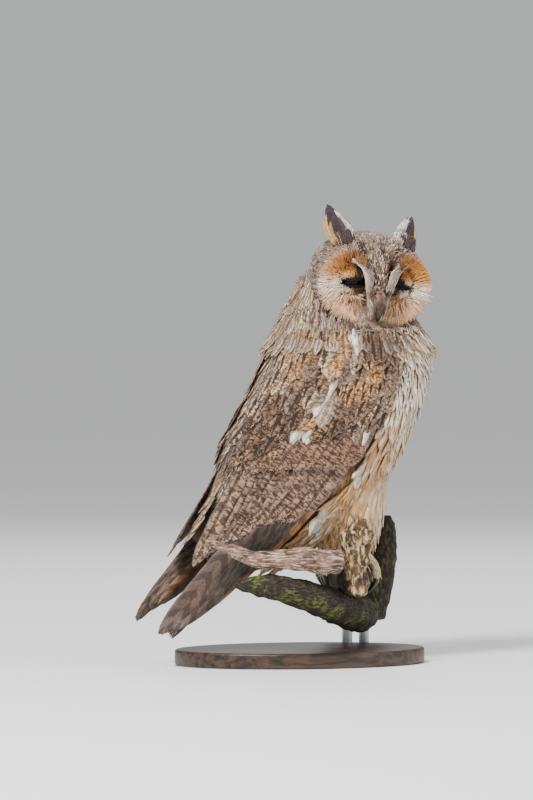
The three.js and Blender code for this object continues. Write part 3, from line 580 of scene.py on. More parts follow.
footAside = 18
toes = [  # name, place beside the foot's middle, and the degrees round the limb where it starts and ends
    ("inner", -7.5, 84, 6), ("middle", 2, 84, -4), ("outer", 9, 92, 172), ("hind", -4, 98, 166),
]
legReach = gripLine["radius"] + gripLine["toe"] + 1.0


def anklePlace(side):
    return roundLimb(gripFrame(side * footAside), 90, legReach + 2, 0)


def toeStops(side, toe):
    aside, start, end = toe[1:]
    place = gripFrame(side * footAside)
    stops = []
    for i in range(5):
        f = i / 4
        at = roundLimb(place, mix(start, end, f), legReach, -side * aside * mix(0.5, 1, f))
        stops.append((at, gripLine["toe"] * mix(1.0, 0.78, f) - 0.3))
    return stops


def makeSkin():
    angle = np.linspace(0, 2 * np.pi, 64, endpoint=False)
    turn = np.degrees(np.where(angle > np.pi, 2 * np.pi - angle, angle))
    side = np.where(angle > np.pi, 1, -1)
    rings = []
    for t in np.linspace(2.3, 9, 34):
        taper = 1 - 0.35 * smooth(t, 8, 9.2)
        pocket = 6.05 * smooth(turn, 50, 64) * smooth(t, 1.9, 2.5)  # room for the wings
        pocket = pocket + 6 * smooth(t, 6.8, 9) * smooth(turn, 30, 60)
        row = readRow(coatTable, t)
        depth, width = (row[3] - pocket - skinDepth) * taper, (row[4] - pocket - skinDepth) * taper
        dip = math.radians(row[2])
        x = row[0] + math.cos(dip) * depth * np.cos(np.radians(turn))
        z = row[1] - math.sin(dip) * depth * np.cos(np.radians(turn))
        rings.append(np.stack([x, side * width * np.sin(np.radians(turn)), z], -1))
    bellySkin = np.array(bellyRows) - np.array([0, 0, 0, 3, 3])
    turnedBack = np.array([[0, 0, b, 0, -b] for b in (0, 6, 8, 8, 6, 4)])  # keeps clear of the face
    neckSkin = np.array(neckRows) + turnedBack - np.array([0, 0, 0, 2.5, 2.5])
    lofts = [closedLoft(np.array(rings)), closedLoft(ellipseRings(bellySkin, 48)),
             closedLoft(ellipseRings(neckSkin, 48)), closedLoft(headShell(1.4)),
             closedLoft(fromHead(limbRings([(p, min(r - 1, 9.5)) for p, r in foreheadStops], 20, 20)))]
    for s in (-1, 1):
        brow = [((x, y * s, z), r - 1.0) for x, y, z, r in browHair]
        lofts.append(closedLoft(fromHead(limbRings(brow, 20, 12))))
        ankle = anklePlace(s)
        shank = [(ankle + np.array([0, 0, -1]), 5.2), (ankle + np.array([-1, s * 0.5, 9]), 7.6),
                 (ankle + np.array([-3, s, 20]), 11)]
        lofts.append(closedLoft(limbRings(shank, 14, 20)))
        for toe in toes:
            lofts.append(closedLoft(limbRings(toeStops(s, toe), 16, 14)))
    skin = joinedLofts("owl_skin", lofts)
    for s in (-1, 1):
        activate(skin)
        bpy.ops.object.mode_set(mode="EDIT")
        bpy.ops.mesh.primitive_uv_sphere_add(segments=socket["segments"], ring_count=socket["rings"],
                                             radius=1)
        bpy.ops.object.mode_set(mode="OBJECT")
        fresh = np.zeros(len(skin.data.vertices) * 3)
        skin.data.vertices.foreach_get("co", fresh)
        fresh = fresh.reshape(-1, 3)
        count = socket["segments"] * (socket["rings"] - 1) + 2
        ball = fresh[-count:] * np.array(socket["size"]) + np.array(socket["at"]) * np.array([1, s, 1])
        fresh[-count:] = fromHead(ball) * mm
        skin.data.vertices.foreach_set("co", fresh.ravel())
    applyModifier(skin, "REMESH", mode="VOXEL", voxel_size=skinFinish["voxel"] * mm)
    applyModifier(skin, "SMOOTH", factor=0.5, iterations=skinFinish["smoothing"])
    hollowSockets(skin)
    smoothFaces(skin)
    return skin


# The sockets sink the face behind each eyeball.
def hollowSockets(skin):
    points = np.zeros(len(skin.data.vertices) * 3)
    skin.data.vertices.foreach_get("co", points)
    local = toHead(points.reshape(-1, 3) / mm)
    for s in (-1, 1):
        offY, offZ = local[:, 1] - s * eye["aside"], local[:, 2]
        reach = eye["radius"] + socket["room"]
        apart = np.hypot(offY, offZ)
        back = eye["forward"] - np.sqrt(np.clip(reach ** 2 - apart ** 2, 0, None))
        inside = (apart < reach) & (local[:, 0] > back) & (local[:, 0] > 5)
        local[inside, 0] = back[inside]
    skin.data.vertices.foreach_set("co", (fromHead(local) * mm).ravel())
    skin.data.update()


skin = makeSkin()
# Soft down lies below the vanes, matt and uneven.
skinMaterial = twoToneMaterial("under_down_grey", downLook)
settle(skin, "body_plumage", skinMaterial, "torso", "neck", "head", "leg_right", "leg_left", "foot_right",
       "foot_left")
skinTree = BVHTree.FromObject(skin, bpy.context.evaluated_depsgraph_get())
print("skin", len(skin.data.polygons), "faces")


# Where straight lines from outside meet the skin: gives the places, the normals and which lines met it
def dropOnSkin(starts, directions):
    places, normals, met = [], [], []
    for start, direction in zip(starts, directions):
        hit, normal, _, _ = skinTree.ray_cast(Vector(start) * mm, Vector(direction), 0.2)
        met.append(hit is not None)
        places.append(tuple(hit / mm) if hit else tuple(start))
        normals.append(tuple(normal) if hit else (0, 0, 1))
    return np.array(places), np.array(normals), np.array(met)


# Body plumage

cream, buff, white = tone("#e8cba2"), tone("#d29b58"), tone("#f4ece0")
soot = tone("#3a2822")
breast = dict(rows=(2.3, 8.6), turns=(0, 66), rowStep=4.6, spacing=6.2, lift=0.2, length=(19, 27),
              width=(8.5, 12.5), rise=(4.5, 1.5), curl=0.01, sway=0.07, roll=6, streaked=0.8, spots=0.18,
              spotColour="#f0e3cd")
back = dict(rows=(1.6, 8.8), turns=(140, 181), rowStep=5.5, spacing=7.0, lift=-2.0, length=(22, 29),
            width=(10, 14), rise=(7, 1.5), curl=0.02, sway=0.06, pinkGrey="#c6a48e", greyBrown="#76604f",
            mark=(0.85, 0.8, 0.05, 0.15))
belly = dict(levels=(0.4, 4.0, 0.1), spacing=5.0, inset=2.6, heading=(-0.25, 0, -1.0), length=(14, 22),
             width=(4.5, 7.5), rise=(6, 2), curl=0.03, sway=0.1)
throat = dict(across=(-4, 98, 2.2), up=(244, 273, 1.9), start=-95.0, length=(7, 12), width=(2.2, 3.6),
              rise=(14, 4), curl=0.06, sway=0.12, base="#a98a76", reach=0.94, mark=(0.6, 0.5, 0, 0.2))
nape = dict(spacing=5.0, length=(12, 18), longer=(-2, 8), width=(5, 7.5), rise=(7, 2.5), curl=0.02,
            sway=0.1, base="#b88d6e", blotch="#5f4a41")


def sideView(points):
    points = np.asarray(points)
    return points[..., 0] * 0.94 - points[..., 1] * 0.342, points[..., 2]


def breastField(side):
    t, turn, sides = coatRoots(breast, side)
    field = coatField(t, turn, sides, breast["lift"] - skinDepth)
    count = len(t)
    front = 1 - smooth(turn, 25, 62)
    low = smooth(t, 3.8, 5.9)
    warm = (0.1 + 0.8 * low * (1 - 0.4 * front))[:, None]
    tint = mix(mix(white, cream, 0.7 * rng.random(count)[:, None]), buff, warm)
    spot = ((rng.random(count) < breast["spots"]) & (low > 0.5) & (turn > 25))[:, None]
    tint = np.where(spot, tone(breast["spotColour"]), tint)
    flank = low * smooth(turn, 22, 40)
    vanes = drawVanes(breast, count)
    vanes["width"] = vanes["width"] * mix(1, 0.5, flank * ~spot[:, 0])
    vanes["sway"] = vanes["sway"] * (1 + 2 * flank)
    roll = rng.normal(0, breast["roll"], count)
    streaks = mix(1.0, 0.5, low) * (rng.random(count) < breast["streaked"])
    mark = np.stack([streaks, 0.05 + 0.15 * low, 0.1 * low, 0.5 * (1 - low)], -1)
    field.update(tint=tint, roll=roll, mark=mark, **vanes)
    return field


def backField(side):
    t, turn, sides = coatRoots(back, side)
    field = coatField(t, turn, sides, back["lift"] - skinDepth)
    count = len(t)
    blotch = smooth(wave(t * 3.1, turn / 9, 2.0), -0.2, 0.5)[:, None]
    tint = mix(cream, tone(back["pinkGrey"]), rng.random(count)[:, None])
    tint = mix(tint, tone(back["greyBrown"]), 0.6 * blotch)
    field.update(tint=tint, mark=back["mark"], **drawVanes(back, count))
    return field


bodyFields = [makeField(side) for side in (-1, 1) for makeField in (breastField, backField)]
body = growFeathers("body_feathers", joinFields(bodyFields),
                    dict(rings=7, jag=0.14, thickness=0.35, end=0.45, droop=0.1, base=0.2))
settle(body, "body_plumage", bodyFeather)


# One ring of roots round an oval row of height, forward, aside, depth and width
def ringField(row, count, inset, heading, normalRise=0.0):
    z, x, y, depth, width = row
    angle = (np.arange(count) + rng.random()) / count * 2 * np.pi
    root = np.stack([x + (depth - inset) * np.cos(angle), y + (width - inset) * np.sin(angle),
                     np.full(count, z)], -1)
    root[:, 2] += rng.normal(0, 0.8, count)
    normal = unit(np.stack([np.cos(angle) / depth, np.sin(angle) / width, np.full(count, normalRise)], -1))
    return angle, dict(root=root, normal=normal, heading=np.tile(heading, (count, 1)))


def bellyCoat():
    fields = []
    for level in np.arange(*belly["levels"]):
        row = readRow(bellyRows, level)
        count = int(math.pi * (row[3] + row[4]) / belly["spacing"])
        angle, field = ringField(row, count, belly["inset"], belly["heading"], -0.006)
        front = smooth(np.cos(angle), 0.0, 0.9)[:, None]
        tint = mix(buff, cream, rng.random(count)[:, None] * 0.8)
        tint = mix(tint, white, 0.6 * front * rng.random((count, 1)))
        field.update(tint=tint, mark=(0.7 * (1 - smooth(level, 0.4, 2.5)), 0.05, 0.1, 0.4),
                     unwrap=np.stack([angle / 6.3, np.full(count, 0.02 + level / 20)], -1),
                     **drawVanes(belly, count))
        fields.append(field)
    return growFeathers("belly_feathers", joinFields(fields),
                        dict(rings=6, jag=0.2, thickness=0.3, end=0.4))


settle(bellyCoat(), "body_plumage", bodyFeather)


# Short feathers close the throat, between the disc and the breast.
def throatField():
    across, up = np.meshgrid(np.arange(*throat["across"]), np.arange(*throat["up"]))
    starts = np.stack([across.ravel(), np.full(across.size, throat["start"]), up.ravel()], -1)
    starts[:, ::2] += rng.normal(0, 0.5, (len(starts), 2))
    places, normals, met = dropOnSkin(starts, np.tile([0, 1.0, 0], (len(starts), 1)))
    local = toHead(places)
    reach = np.hypot(local[:, 1] / 45.5, (local[:, 2] + 1) / 31)
    count = len(starts)
    front = smooth(places[:, 0], 55, 90)[:, None]
    tint = mix(tone(throat["base"]), cream, rng.random((count, 1)))
    tint = mix(tint, white, 0.6 * front * rng.random((count, 1)))
    dark = (1 - smooth(reach, 1.02, 1.14)) * (rng.random(count) < 0.7)
    tint = mix(tint, soot, dark[:, None])
    unwrap = np.stack([0.3 + places[:, 0] / 300, 0.9 + (places[:, 2] - 244) / 400], -1)
    field = dict(root=places - normals * 0.4, normal=normals, heading=np.tile([0, -0.2, -1.0], (count, 1)),
                 tint=tint, mark=throat["mark"], unwrap=unwrap, **drawVanes(throat, count))
    return keep(field, met & (reach > throat["reach"]) & (local[:, 0] > 8))


# The neck's soft feathers run down over the shoulders, the longest at the base.
def neckCoat():
    fields = []
    for level in np.concatenate([np.arange(-0.35, 1.0, 0.17), np.arange(1.0, 4.9, 0.24)]):
        below = max(-level, 0)
        row = readRow(neckRows, max(level, 0)) + np.array([-12, 0, 0, 3.0, 2.0]) * below
        count = int(math.pi * (row[3] + row[4]) / nape["spacing"])
        base = 1 - smooth(level, 0.2, 1.8)
        angle, field = ringField(row, count, 1.4 - 1.8 * base, [0, 0, -1.0], 0.012)
        local = toHead(field["root"])
        reach = np.hypot(local[:, 1] / 46.5, (local[:, 2] + 1) / 31.5)
        facing = smooth(-np.sin(angle), -0.2, 0.8)[:, None]
        front = smooth(np.cos(angle), 0.1, 0.9)[:, None]
        tint = mix(tone(nape["base"]), cream, rng.random(count)[:, None])
        tint = mix(tint, white, 0.75 * np.maximum(front, 0.5 * facing) * rng.random((count, 1)))
        blotch = smooth(wave(angle * 5, row[0] / 5, 1.0), 0.0, 0.6)[:, None]
        tint = mix(tint, tone(nape["blotch"]), 0.7 * blotch * (1 - 0.6 * front))
        under = (local[:, 0] > 4) * smooth(-local[:, 2], 14, 24) * (1 - smooth(reach, 1.05, 1.22))
        tint = mix(tint, soot, (under * (rng.random(count) < 0.75))[:, None])
        facing = facing[:, 0]
        mark = np.stack([0.9 - 0.1 * facing, 0.6 - 0.3 * facing, 0.05 + 0 * angle, 0.4 + 0 * angle], -1)
        length = rng.uniform(*nape["length"], count) + rng.uniform(*nape["longer"], count) * base
        width = rng.uniform(*nape["width"], count) + 1.5 * base
        rise = rng.normal(*nape["rise"], count) - 2 * base
        field.update(length=length, width=width, rise=rise, curl=nape["curl"], tint=tint, mark=mark,
                     sway=rng.normal(0, nape["sway"], count),
                     unwrap=np.stack([angle / 6.3, 0.6 + np.full(count, max(level, 0) / 20)], -1))
        fields.append(keep(field, (reach > 1) | (local[:, 0] < 9)))
    fields.append(throatField())
    return growFeathers("neck_feathers", joinFields(fields),
                        dict(rings=6, jag=0.16, thickness=0.3, end=0.4, base=0.15))


settle(neckCoat(), "body_plumage", bodyFeather)
print("body done")


# Wings

# Each row of stiff vanes runs from its first to its last, and every pair gives the root and the tip.
flightRows = [
    dict(count=10, width=16, tilt=3, plane=(91, 118),
         first=dict(t=(6.7, 10.8), turn=(76, 94), lift=(-3, -3.2)),
         last=dict(t=(6.9, 11.85), turn=(106, 138), lift=(-2.5, 5))),
]
secondaryRows = [
    dict(count=12, width=20, first=dict(t=(5.6, 7.7), turn=(80, 84), lift=(-2, 1.6)),
         last=dict(t=(6.2, 9.8), turn=(146, 160), lift=(-2, 2.8))),
]
greaterRows = [
    dict(count=12, width=15, first=dict(t=(4.8, 6.5), turn=(76, 77), lift=(-2, 3)),
         last=dict(t=(5.2, 7.2), turn=(130, 138), lift=(-2, 3.4))),
]


def vaneField(rows, side, tintOf, mark):
    fields = []
    for row in rows:
        count = row["count"]
        share = np.linspace(0, 1, count)
        spread = {(key, end): mix(row["first"][key][end], row["last"][key][end], share)
                  for key in ("t", "turn", "lift") for end in (0, 1)}
        turn0, turn1, lift0, lift1 = [spread[key, end] for key in ("turn", "lift") for end in (0, 1)]
        t0 = spread["t", 0] + rng.normal(0, 0.04, count)
        t1 = spread["t", 1] + rng.normal(0, 0.06, count)
        sides = np.full(count, side)
        plane = row.get("plane")
        rootTurn = np.full(count, plane[0]) if plane else turn0
        outerTurn = np.full(count, plane[1]) if plane else mix(turn0, turn1, 0.75)
        normal0 = coatFrame(t0, rootTurn, sides)[2]
        normal1 = coatFrame(mix(t0, t1, 0.75), outerTurn, sides)[2]
        start = coatPoint(t0, turn0, 0, sides) + normal0 * lift0[:, None]
        end = coatPoint(t1, turn1, 0, sides) + normal1 * lift1[:, None]
        normal = unit(normal0 * 0.4 + normal1 * 0.6)
        chord = end - start
        length = np.linalg.norm(chord, axis=1)
        bulge = coatPoint(mix(t0, t1, 0.5), mix(turn0, turn1, 0.5), 0, sides) - (start + end) / 2
        arch = np.sum(bulge * normal, 1) + 0.65 * lift1 + 0.35 * lift0
        out = unit(chord / length[:, None])
        flatNormal = unit(normal - out * np.sum(normal * out, 1, keepdims=True))
        curl = np.clip(4 * arch / length * 0.5, -0.2, 0.4)
        fields.append(dict(root=start, normal=flatNormal, heading=out, length=length, width=row["width"],
                           rise=np.degrees(np.arctan(curl)), curl=curl, roll=side * row.get("tilt", 7),
                           sway=rng.normal(0, 0.008, count), tint=tintOf(count), mark=mark,
                           unwrap=np.stack([np.clip(0.5 + side * turn0 / 360, 0, 1), t0 / 12], -1)))
    return fields


# Marks of the near wing in the side view: across, height and size in mm
wingMarks = dict(
    white=[(39, 251, 8), (38, 243, 9), (35, 228, 6), (26, 217, 7), (19, 206, 6), (13, 195, 7), (0, 177, 9),
           (49, 178, 6)],
    buff=[(55, 224, 9), (44, 212, 11), (33, 207, 8), (8, 188, 9), (-12, 164, 8), (30, 236, 7),
          (-3, 232, 9)],
    dusk=[(55, 248, 15), (62, 232, 13), (12, 246, 12), (4, 222, 13), (-14, 196, 14), (30, 178, 14),
          (-28, 168, 12)],
)
coverts = dict(
    zones=[dict(rows=(2.3, 4.7), turns=(68, 128), rowStep=4.4, spacing=5.4, length=21, width=10.5,
                lift=2.2),
           dict(rows=(4.3, 5.6), turns=(72, 134), rowStep=5.6, spacing=6.8, length=26, width=13, lift=2.6),
           dict(rows=(2.3, 6.5), turns=(110, 164), rowStep=6.0, spacing=7.2, length=30, width=14.5,
                lift=3.2)],
    sunk=3.6, drift=0.06, rise=(3.4, 0.8), curl=0.02, sway=0.05, roll=(4.0, 3),
    purple="#71503f", rufous="#e6a766", pale="#eec9a2", white="#ece6de",
)
# The far wing's outer primaries take a darker brown edge than the near ones: painted shade for the wing
# turned away from the light.
flightTones = dict(nearEdge="#cf8a3c", farEdgePaintedShade="#7d5a40", inner="#54423a", secondary="#a07d64",
                   greater="#8f6c50")


def nearMark(points, kind):
    across, height = sideView(points)
    found = np.zeros(len(points))
    for markAcross, markHeight, size in wingMarks[kind]:
        away = np.hypot(across - markAcross, (height - markHeight) * 0.8)
        found = np.maximum(found, 1 - smooth(away, size * 0.55, size * 1.1))
    return found[:, None]


def flightVanes(side, word):
    def primaryTint(count):
        # On the far wing the edge colour is painted darker, as shade.
        edge = flightTones["nearEdge" if side < 0 else "farEdgePaintedShade"]
        share = smooth(np.linspace(0, 1, count)[:, None], 0.04, 0.24)
        return mix(tone(edge), tone(flightTones["inner"]), share)

    def plainTint(kind):
        return lambda count: tone(flightTones[kind]) * rng.uniform(0.8, 1.1, (count, 1))

    fields = vaneField(flightRows, side, primaryTint, (0.3, 0.3, 0.7, 0.1))
    primaries = growFeathers(f"primaries_{word}", joinFields(fields),
                             dict(section=fullSection, rings=26, jag=0.02, thickness=0.45, end=0.72,
                                  base=0.5, swell=0.4, droop=0.1))
    settle(primaries, "wing_plumage", flightFeather)
    fields = vaneField(secondaryRows, side, plainTint("secondary"), (0.8, 0.9, 0.35, 0.15))
    fields += vaneField(greaterRows, side, plainTint("greater"), (0.6, 0.95, 0.1, 0.1))
    secondaries = growFeathers(f"secondaries_{word}", joinFields(fields),
                               dict(section=fullSection, rings=18, jag=0.03, thickness=0.4, end=0.7,
                                    base=0.5, swell=0.4, droop=0.1))
    settle(secondaries, "wing_plumage", secondaryFeather)


def covertField(zone, side):
    purple, pale = tone(coverts["purple"]), tone(coverts["pale"])
    t, turn, sides = coatRoots(zone, side)
    field = coatField(t, turn, sides, zone["lift"] - coverts["sunk"], coverts["drift"])
    count = len(t)
    middle = field["root"] + unit(field["heading"]) * zone["length"] * 0.6
    upper = (1 - smooth(t, 3.2, 4.8))[:, None]
    lower = smooth(t, 3.4, 5.0)[:, None]
    patch = smooth(wave(t * 2.3, turn / 11, 4.0 + side), -0.3, 0.5)[:, None]
    spot = nearMark(middle, "white")
    tint = mix(mix(purple, pale, 0.25 + 0.75 * patch), cream, 0.3 * upper * rng.random((count, 1)))
    tint = mix(tint, purple, 0.75 * nearMark(middle, "dusk")) * (1 - 0.52 * lower)
    tint = mix(tint, tone(coverts["rufous"]), 0.9 * nearMark(middle, "buff"))
    tint = mix(tint, tone(coverts["white"]), spot * rng.uniform(0.6, 0.95, (count, 1)))
    calm, upper = 1 - spot[:, 0], upper[:, 0]
    streaks = (0.6 + 0.4 * (rng.random(count) < 0.6)) * calm
    mark = np.stack([streaks, mix(1.0, 0.8, upper) * calm, 0.0 * t, 0.12 + 0.1 * upper], -1)
    small = 1 - 0.5 * (spot[:, 0] > 0.4)
    rollMiddle, rollSpread = coverts["roll"]
    field.update(length=rng.normal(zone["length"], 2.0, count) * mix(0.8, 1, small),
                 width=rng.normal(zone["width"], 1.2, count) * small,
                 rise=rng.normal(*coverts["rise"], count), curl=coverts["curl"],
                 sway=rng.normal(0, coverts["sway"], count),
                 roll=rng.normal(side * rollMiddle, rollSpread, count), tint=tint, mark=mark)
    return field


def wingCoat(side, word):
    flightVanes(side, word)
    fields = [covertField(zone, side) for zone in coverts["zones"]]
    coat = growFeathers(f"coverts_{word}", joinFields(fields),
                        dict(rings=10, jag=0.06, thickness=0.28, end=0.5, droop=0.06, base=0.25))
    settle(coat, "wing_plumage", wingFeather)


# A thin closed core fills each wing under its vanes.
wingCore = dict(rows=(2.75, 9.1), rings=26, across=18, lift=-2.7, above=1.9, below=2.2, thinEdge=0.4)


def wingUnder(side, word):
    rings = []
    across, last, thinEdge = wingCore["across"], wingCore["rings"] - 1, wingCore["thinEdge"]
    edge = np.where((np.arange(across) == 0) | (np.arange(across) == across - 1), thinEdge, 1)
    for i, t in enumerate(np.linspace(*wingCore["rows"], wingCore["rings"])):
        front = mix(74, 90, smooth(t, 6.5, 8.5))
        rear = mix(mix(130, 165, smooth(t, 2.5, 4.6)), 149, smooth(t, 7, 9))
        turns = np.linspace(front, rear, across)
        thin = mix(1, 0.45, smooth(i / last, 0.75, 1)) * (thinEdge if i in (0, last) else 1)
        top = coatPoint(np.full(across, t), turns, wingCore["lift"] + wingCore["above"] * edge * thin, side)
        sunk = wingCore["lift"] - wingCore["below"] * edge[::-1] * thin
        low = coatPoint(np.full(across, t), turns[::-1], sunk, side)
        rings.append(np.concatenate([top, low]))
    under = joinedLofts(f"wing_core_{word}", [closedLoft(np.array(rings))])
    settle(under, "wing_plumage", skinMaterial, f"wing_{word}")


for side, word in ((-1, "right"), (1, "left")):
    wingUnder(side, word)
    wingCoat(side, word)
print("wings done")


# Tail

tail = dict(count=12, root=(-34.0, 0, 99), tip=(-106.0, 0, 22), aside=7, fan=0.058, length=104, width=15.5,
            tint="#5f493a", mark=(0.2, 0.5, 0.8, 0.15))
rump = dict(count=16, start=(-30.0, 0, 103), end=(-62.0, 0, 69), heading=(-72.0, 0, -77), radius=(12, 5),
            length=(20, 28), width=(9, 12), rise=2.0, curl=0.05, mark=(0.3, 0.3, 0.2, 0.4))


def tailVanes():
    count = tail["count"]
    spread = np.linspace(-1, 1, count)
    root, tip = np.array(tail["root"]), np.array(tail["tip"])
    heading = unit(tip - root)
    dorsal = -np.array([heading[2], 0, -heading[0]])
    arch = dorsal * (3.0 - 4.6 * np.abs(spread))[:, None]
    start = root + np.stack([0 * spread, spread * tail["aside"], 0 * spread], -1) + arch
    fan = heading + np.stack([0 * spread, spread * tail["fan"], 0 * spread], -1) - dorsal * 0.006
    field = dict(root=start, normal=np.tile(dorsal, (count, 1)), heading=fan,
                 length=tail["length"] * (1 - 0.06 * spread ** 2), width=tail["width"], rise=0.0, curl=0.0,
                 sway=0.0, roll=-4 * np.sign(spread), tint=tone(tail["tint"]), mark=tail["mark"],
                 unwrap=np.stack([0.5 + spread * 0.3, 0.5 + 0 * spread], -1))
    return growFeathers("tail_feathers", joinFields([field]),
                        dict(section=fullSection, rings=22, jag=0.025, thickness=0.5, end=0.8, base=0.5,
                             swell=0.3, droop=0.06))


settle(tailVanes(), "tail_plumage", flightFeather, "tail")


# Soft feathers hide the roots of the tail.
def rumpCoat():
    rings = []
    count = rump["count"]
    heading = unit(np.array(rump["heading"]))
    up = -np.array([heading[2], 0, -heading[0]])
    for share in np.arange(0, 1.01, 0.09):
        angle = np.linspace(0, 2 * np.pi, count, endpoint=False) + share * 5
        centre = mix(np.array(rump["start"]), np.array(rump["end"]), share)
        radius = mix(*rump["radius"], share)
        normal = np.sin(angle)[:, None] * up + np.cos(angle)[:, None] * np.array([0, 1.0, 0])
        rings.append(dict(root=centre + normal * radius * np.array([1, 1.3, 1]), normal=normal,
                          heading=np.tile(heading, (count, 1)), length=rng.uniform(*rump["length"], count),
                          width=rng.uniform(*rump["width"], count), rise=rump["rise"], curl=rump["curl"],
                          tint=mix(buff, cream, rng.random((count, 1))), mark=rump["mark"],
                          unwrap=np.stack([angle / 13, 0.3 + share * 0.2 + 0 * angle], -1)))
    return growFeathers("rump_feathers", joinFields(rings),
                        dict(rings=6, jag=0.18, thickness=0.4, end=0.45))


settle(rumpCoat(), "tail_plumage", bodyFeather)
print("tail done")


# Head plumage

eyeCentres = {s: np.array([eye["forward"], s * eye["aside"], 0.0]) for s in (-1, 1)}
crown = dict(forward=(-38, 16), rowStep=2.3, spacing=2.5, lift=-1.2, length=(6.0, 9), width=(2.4, 3.6),
             rise=(6, 2.5), curl=0.03, sway=0.12, cream="#e3c8ae", pinkGrey="#b08c7a", speck="#442f2a",
             stripe="#35231f", side="#cdbcae", mark=(0.6, 0.8, 0.0, 0.12))


# One place for each point of the face in the unwrapped map
def faceMap(aside, up):
    return np.stack([0.5 + aside / 120, 0.5 + up / 120], -1)


def shellPoint(level, angle, lift):
    x, width, height, z = readRow(headRows[:6], level)
    aside, up = (width + lift) * np.cos(angle), z + (height + lift) * np.sin(angle)
    return np.stack([np.full(len(angle), x), aside, up], -1)


# Roots in rings round the head from back to face, with each one's heading, normal, place along and angle
def headRoots(look):
    roots, headings, normals, params = [], [], [], []
    level = 0.0
    while level < 5:
        x, width, height, _ = readRow(headRows[:6], level)
        nextX, nextWidth = readRow(headRows[:6], level + 0.05)[:2]
        if look["forward"][0] <= x <= look["forward"][1]:
            count = max(3, int(2 * math.pi * (width + height) / 2 / look["spacing"]))
            angle = np.radians(360 * (np.arange(count) + rng.random()) / count)
            behind = shellPoint(max(level - 0.08, 0), angle, look["lift"])
            ahead = shellPoint(min(level + 0.08, 5), angle, look["lift"])
            one = shellPoint(level, angle - 0.02, look["lift"])
            two = shellPoint(level, angle + 0.02, look["lift"])
            heading = unit(behind - ahead)
            roots.append(shellPoint(level, angle, look["lift"]))
            headings.append(heading)
            normals.append(unit(np.cross(heading, unit(two - one))))
            params.append(np.stack([np.full(count, x), angle], -1))
        grow = math.hypot(nextX - x, nextWidth - width)
        level += look["rowStep"] * 0.05 / max(grow, 0.02)
    roots, headings, normals = map(np.concatenate, (roots, headings, normals))
    outward = roots - np.array([-8, 0, 0])
    normals *= np.sign(np.sum(normals * outward, 1, keepdims=True))
    return roots, headings, normals, np.concatenate(params)


# Pinkish cream with dark streaks along the middle of the crown, greyer at the sides
def crownTint(local, count):
    y, z = local[:, 1], local[:, 2]
    top = smooth(z, 10, 24)
    speck = smooth(wave(y / 2.2, (z + local[:, 0] * 0.3) / 4.0, 3.0), -0.05, 0.3)
    stripe = smooth(np.sin(y / 2.7 + 0.8) + 0.5 * np.sin(local[:, 0] / 3.1), 0.1, 0.6) * top
    tint = mix(tone(crown["cream"]), tone(crown["pinkGrey"]), rng.random((count, 1)))
    tint = mix(tint, tone(crown["speck"]), (0.85 * speck)[:, None])
    tint = mix(tint, tone(crown["stripe"]), (0.85 * stripe)[:, None])
    return mix(tint, tone(crown["side"]), (0.2 * (1 - top))[:, None])


def crownCoat():
    roots, headings, normals, params = headRoots(crown)
    along, angle = params[:, 0], params[:, 1]
    lean = headings + np.stack([0 * along, 0 * along, -0.35 * np.abs(np.cos(angle))], -1)
    tint = crownTint(roots, len(roots))
    places, facing, met = dropOnSkin(fromHead(roots + normals * 15), turnHead(-normals))
    field = dict(root=places - facing * 0.4, normal=facing, heading=turnHead(lean), tint=tint,
                 mark=crown["mark"], unwrap=np.stack([(angle / 6.3) % 1, (along + 40) / 120], -1),
                 **drawVanes(crown, len(roots)))
    return growFeathers("crown_feathers", joinFields([keep(field, met)]),
                        dict(rings=5, jag=0.22, thickness=0.2, end=0.5))


settle(crownCoat(), "head_plumage", headFeather)


disc = dict(distances=(10.4, 36, 0.85), spacing=1.05, rim=0.97, lift=3.4, forwardLean=0.15,
            length=(0.8, 1.15), longest=9.0, shortest=4.0, width=(0.6, 1.0), rise=(10, 2), curl=0.1,
            sway=0.12, ochre="#d2913c", orange="#a8621c", peach="#f6cda2", rust="#8a4a26", pale="#faf0e2",
            dark="#1d1210", grey="#c9bcb0", blotch="#33211d")


# The inner edge of each half of the disc follows the brow down to the bill.
def browEdge(z):
    return np.interp(z, [-14, -3, 9, 18, 24], [3.0, 6.5, 10.5, 17.0, 23.0])


# How far out a point of the face lies in its half of the disc: 0 in the middle, 1 at the rim
def discReach(aside, z):
    wide = np.where(aside > 21, 22.5, np.where(z > -3, 19.0, 19 + 7 * smooth(-z, 3, 16)))
    tall = np.where(z > -3, 24.5, 29.0)
    return np.hypot((aside - 21) / wide, (z + 3) / tall)


# A soft oval patch of colour: middle and size in mm
def softPatch(outward, up, middle, size):
    return np.exp(-((outward - middle[0]) / size[0]) ** 2 - ((up - middle[1]) / size[1]) ** 2)


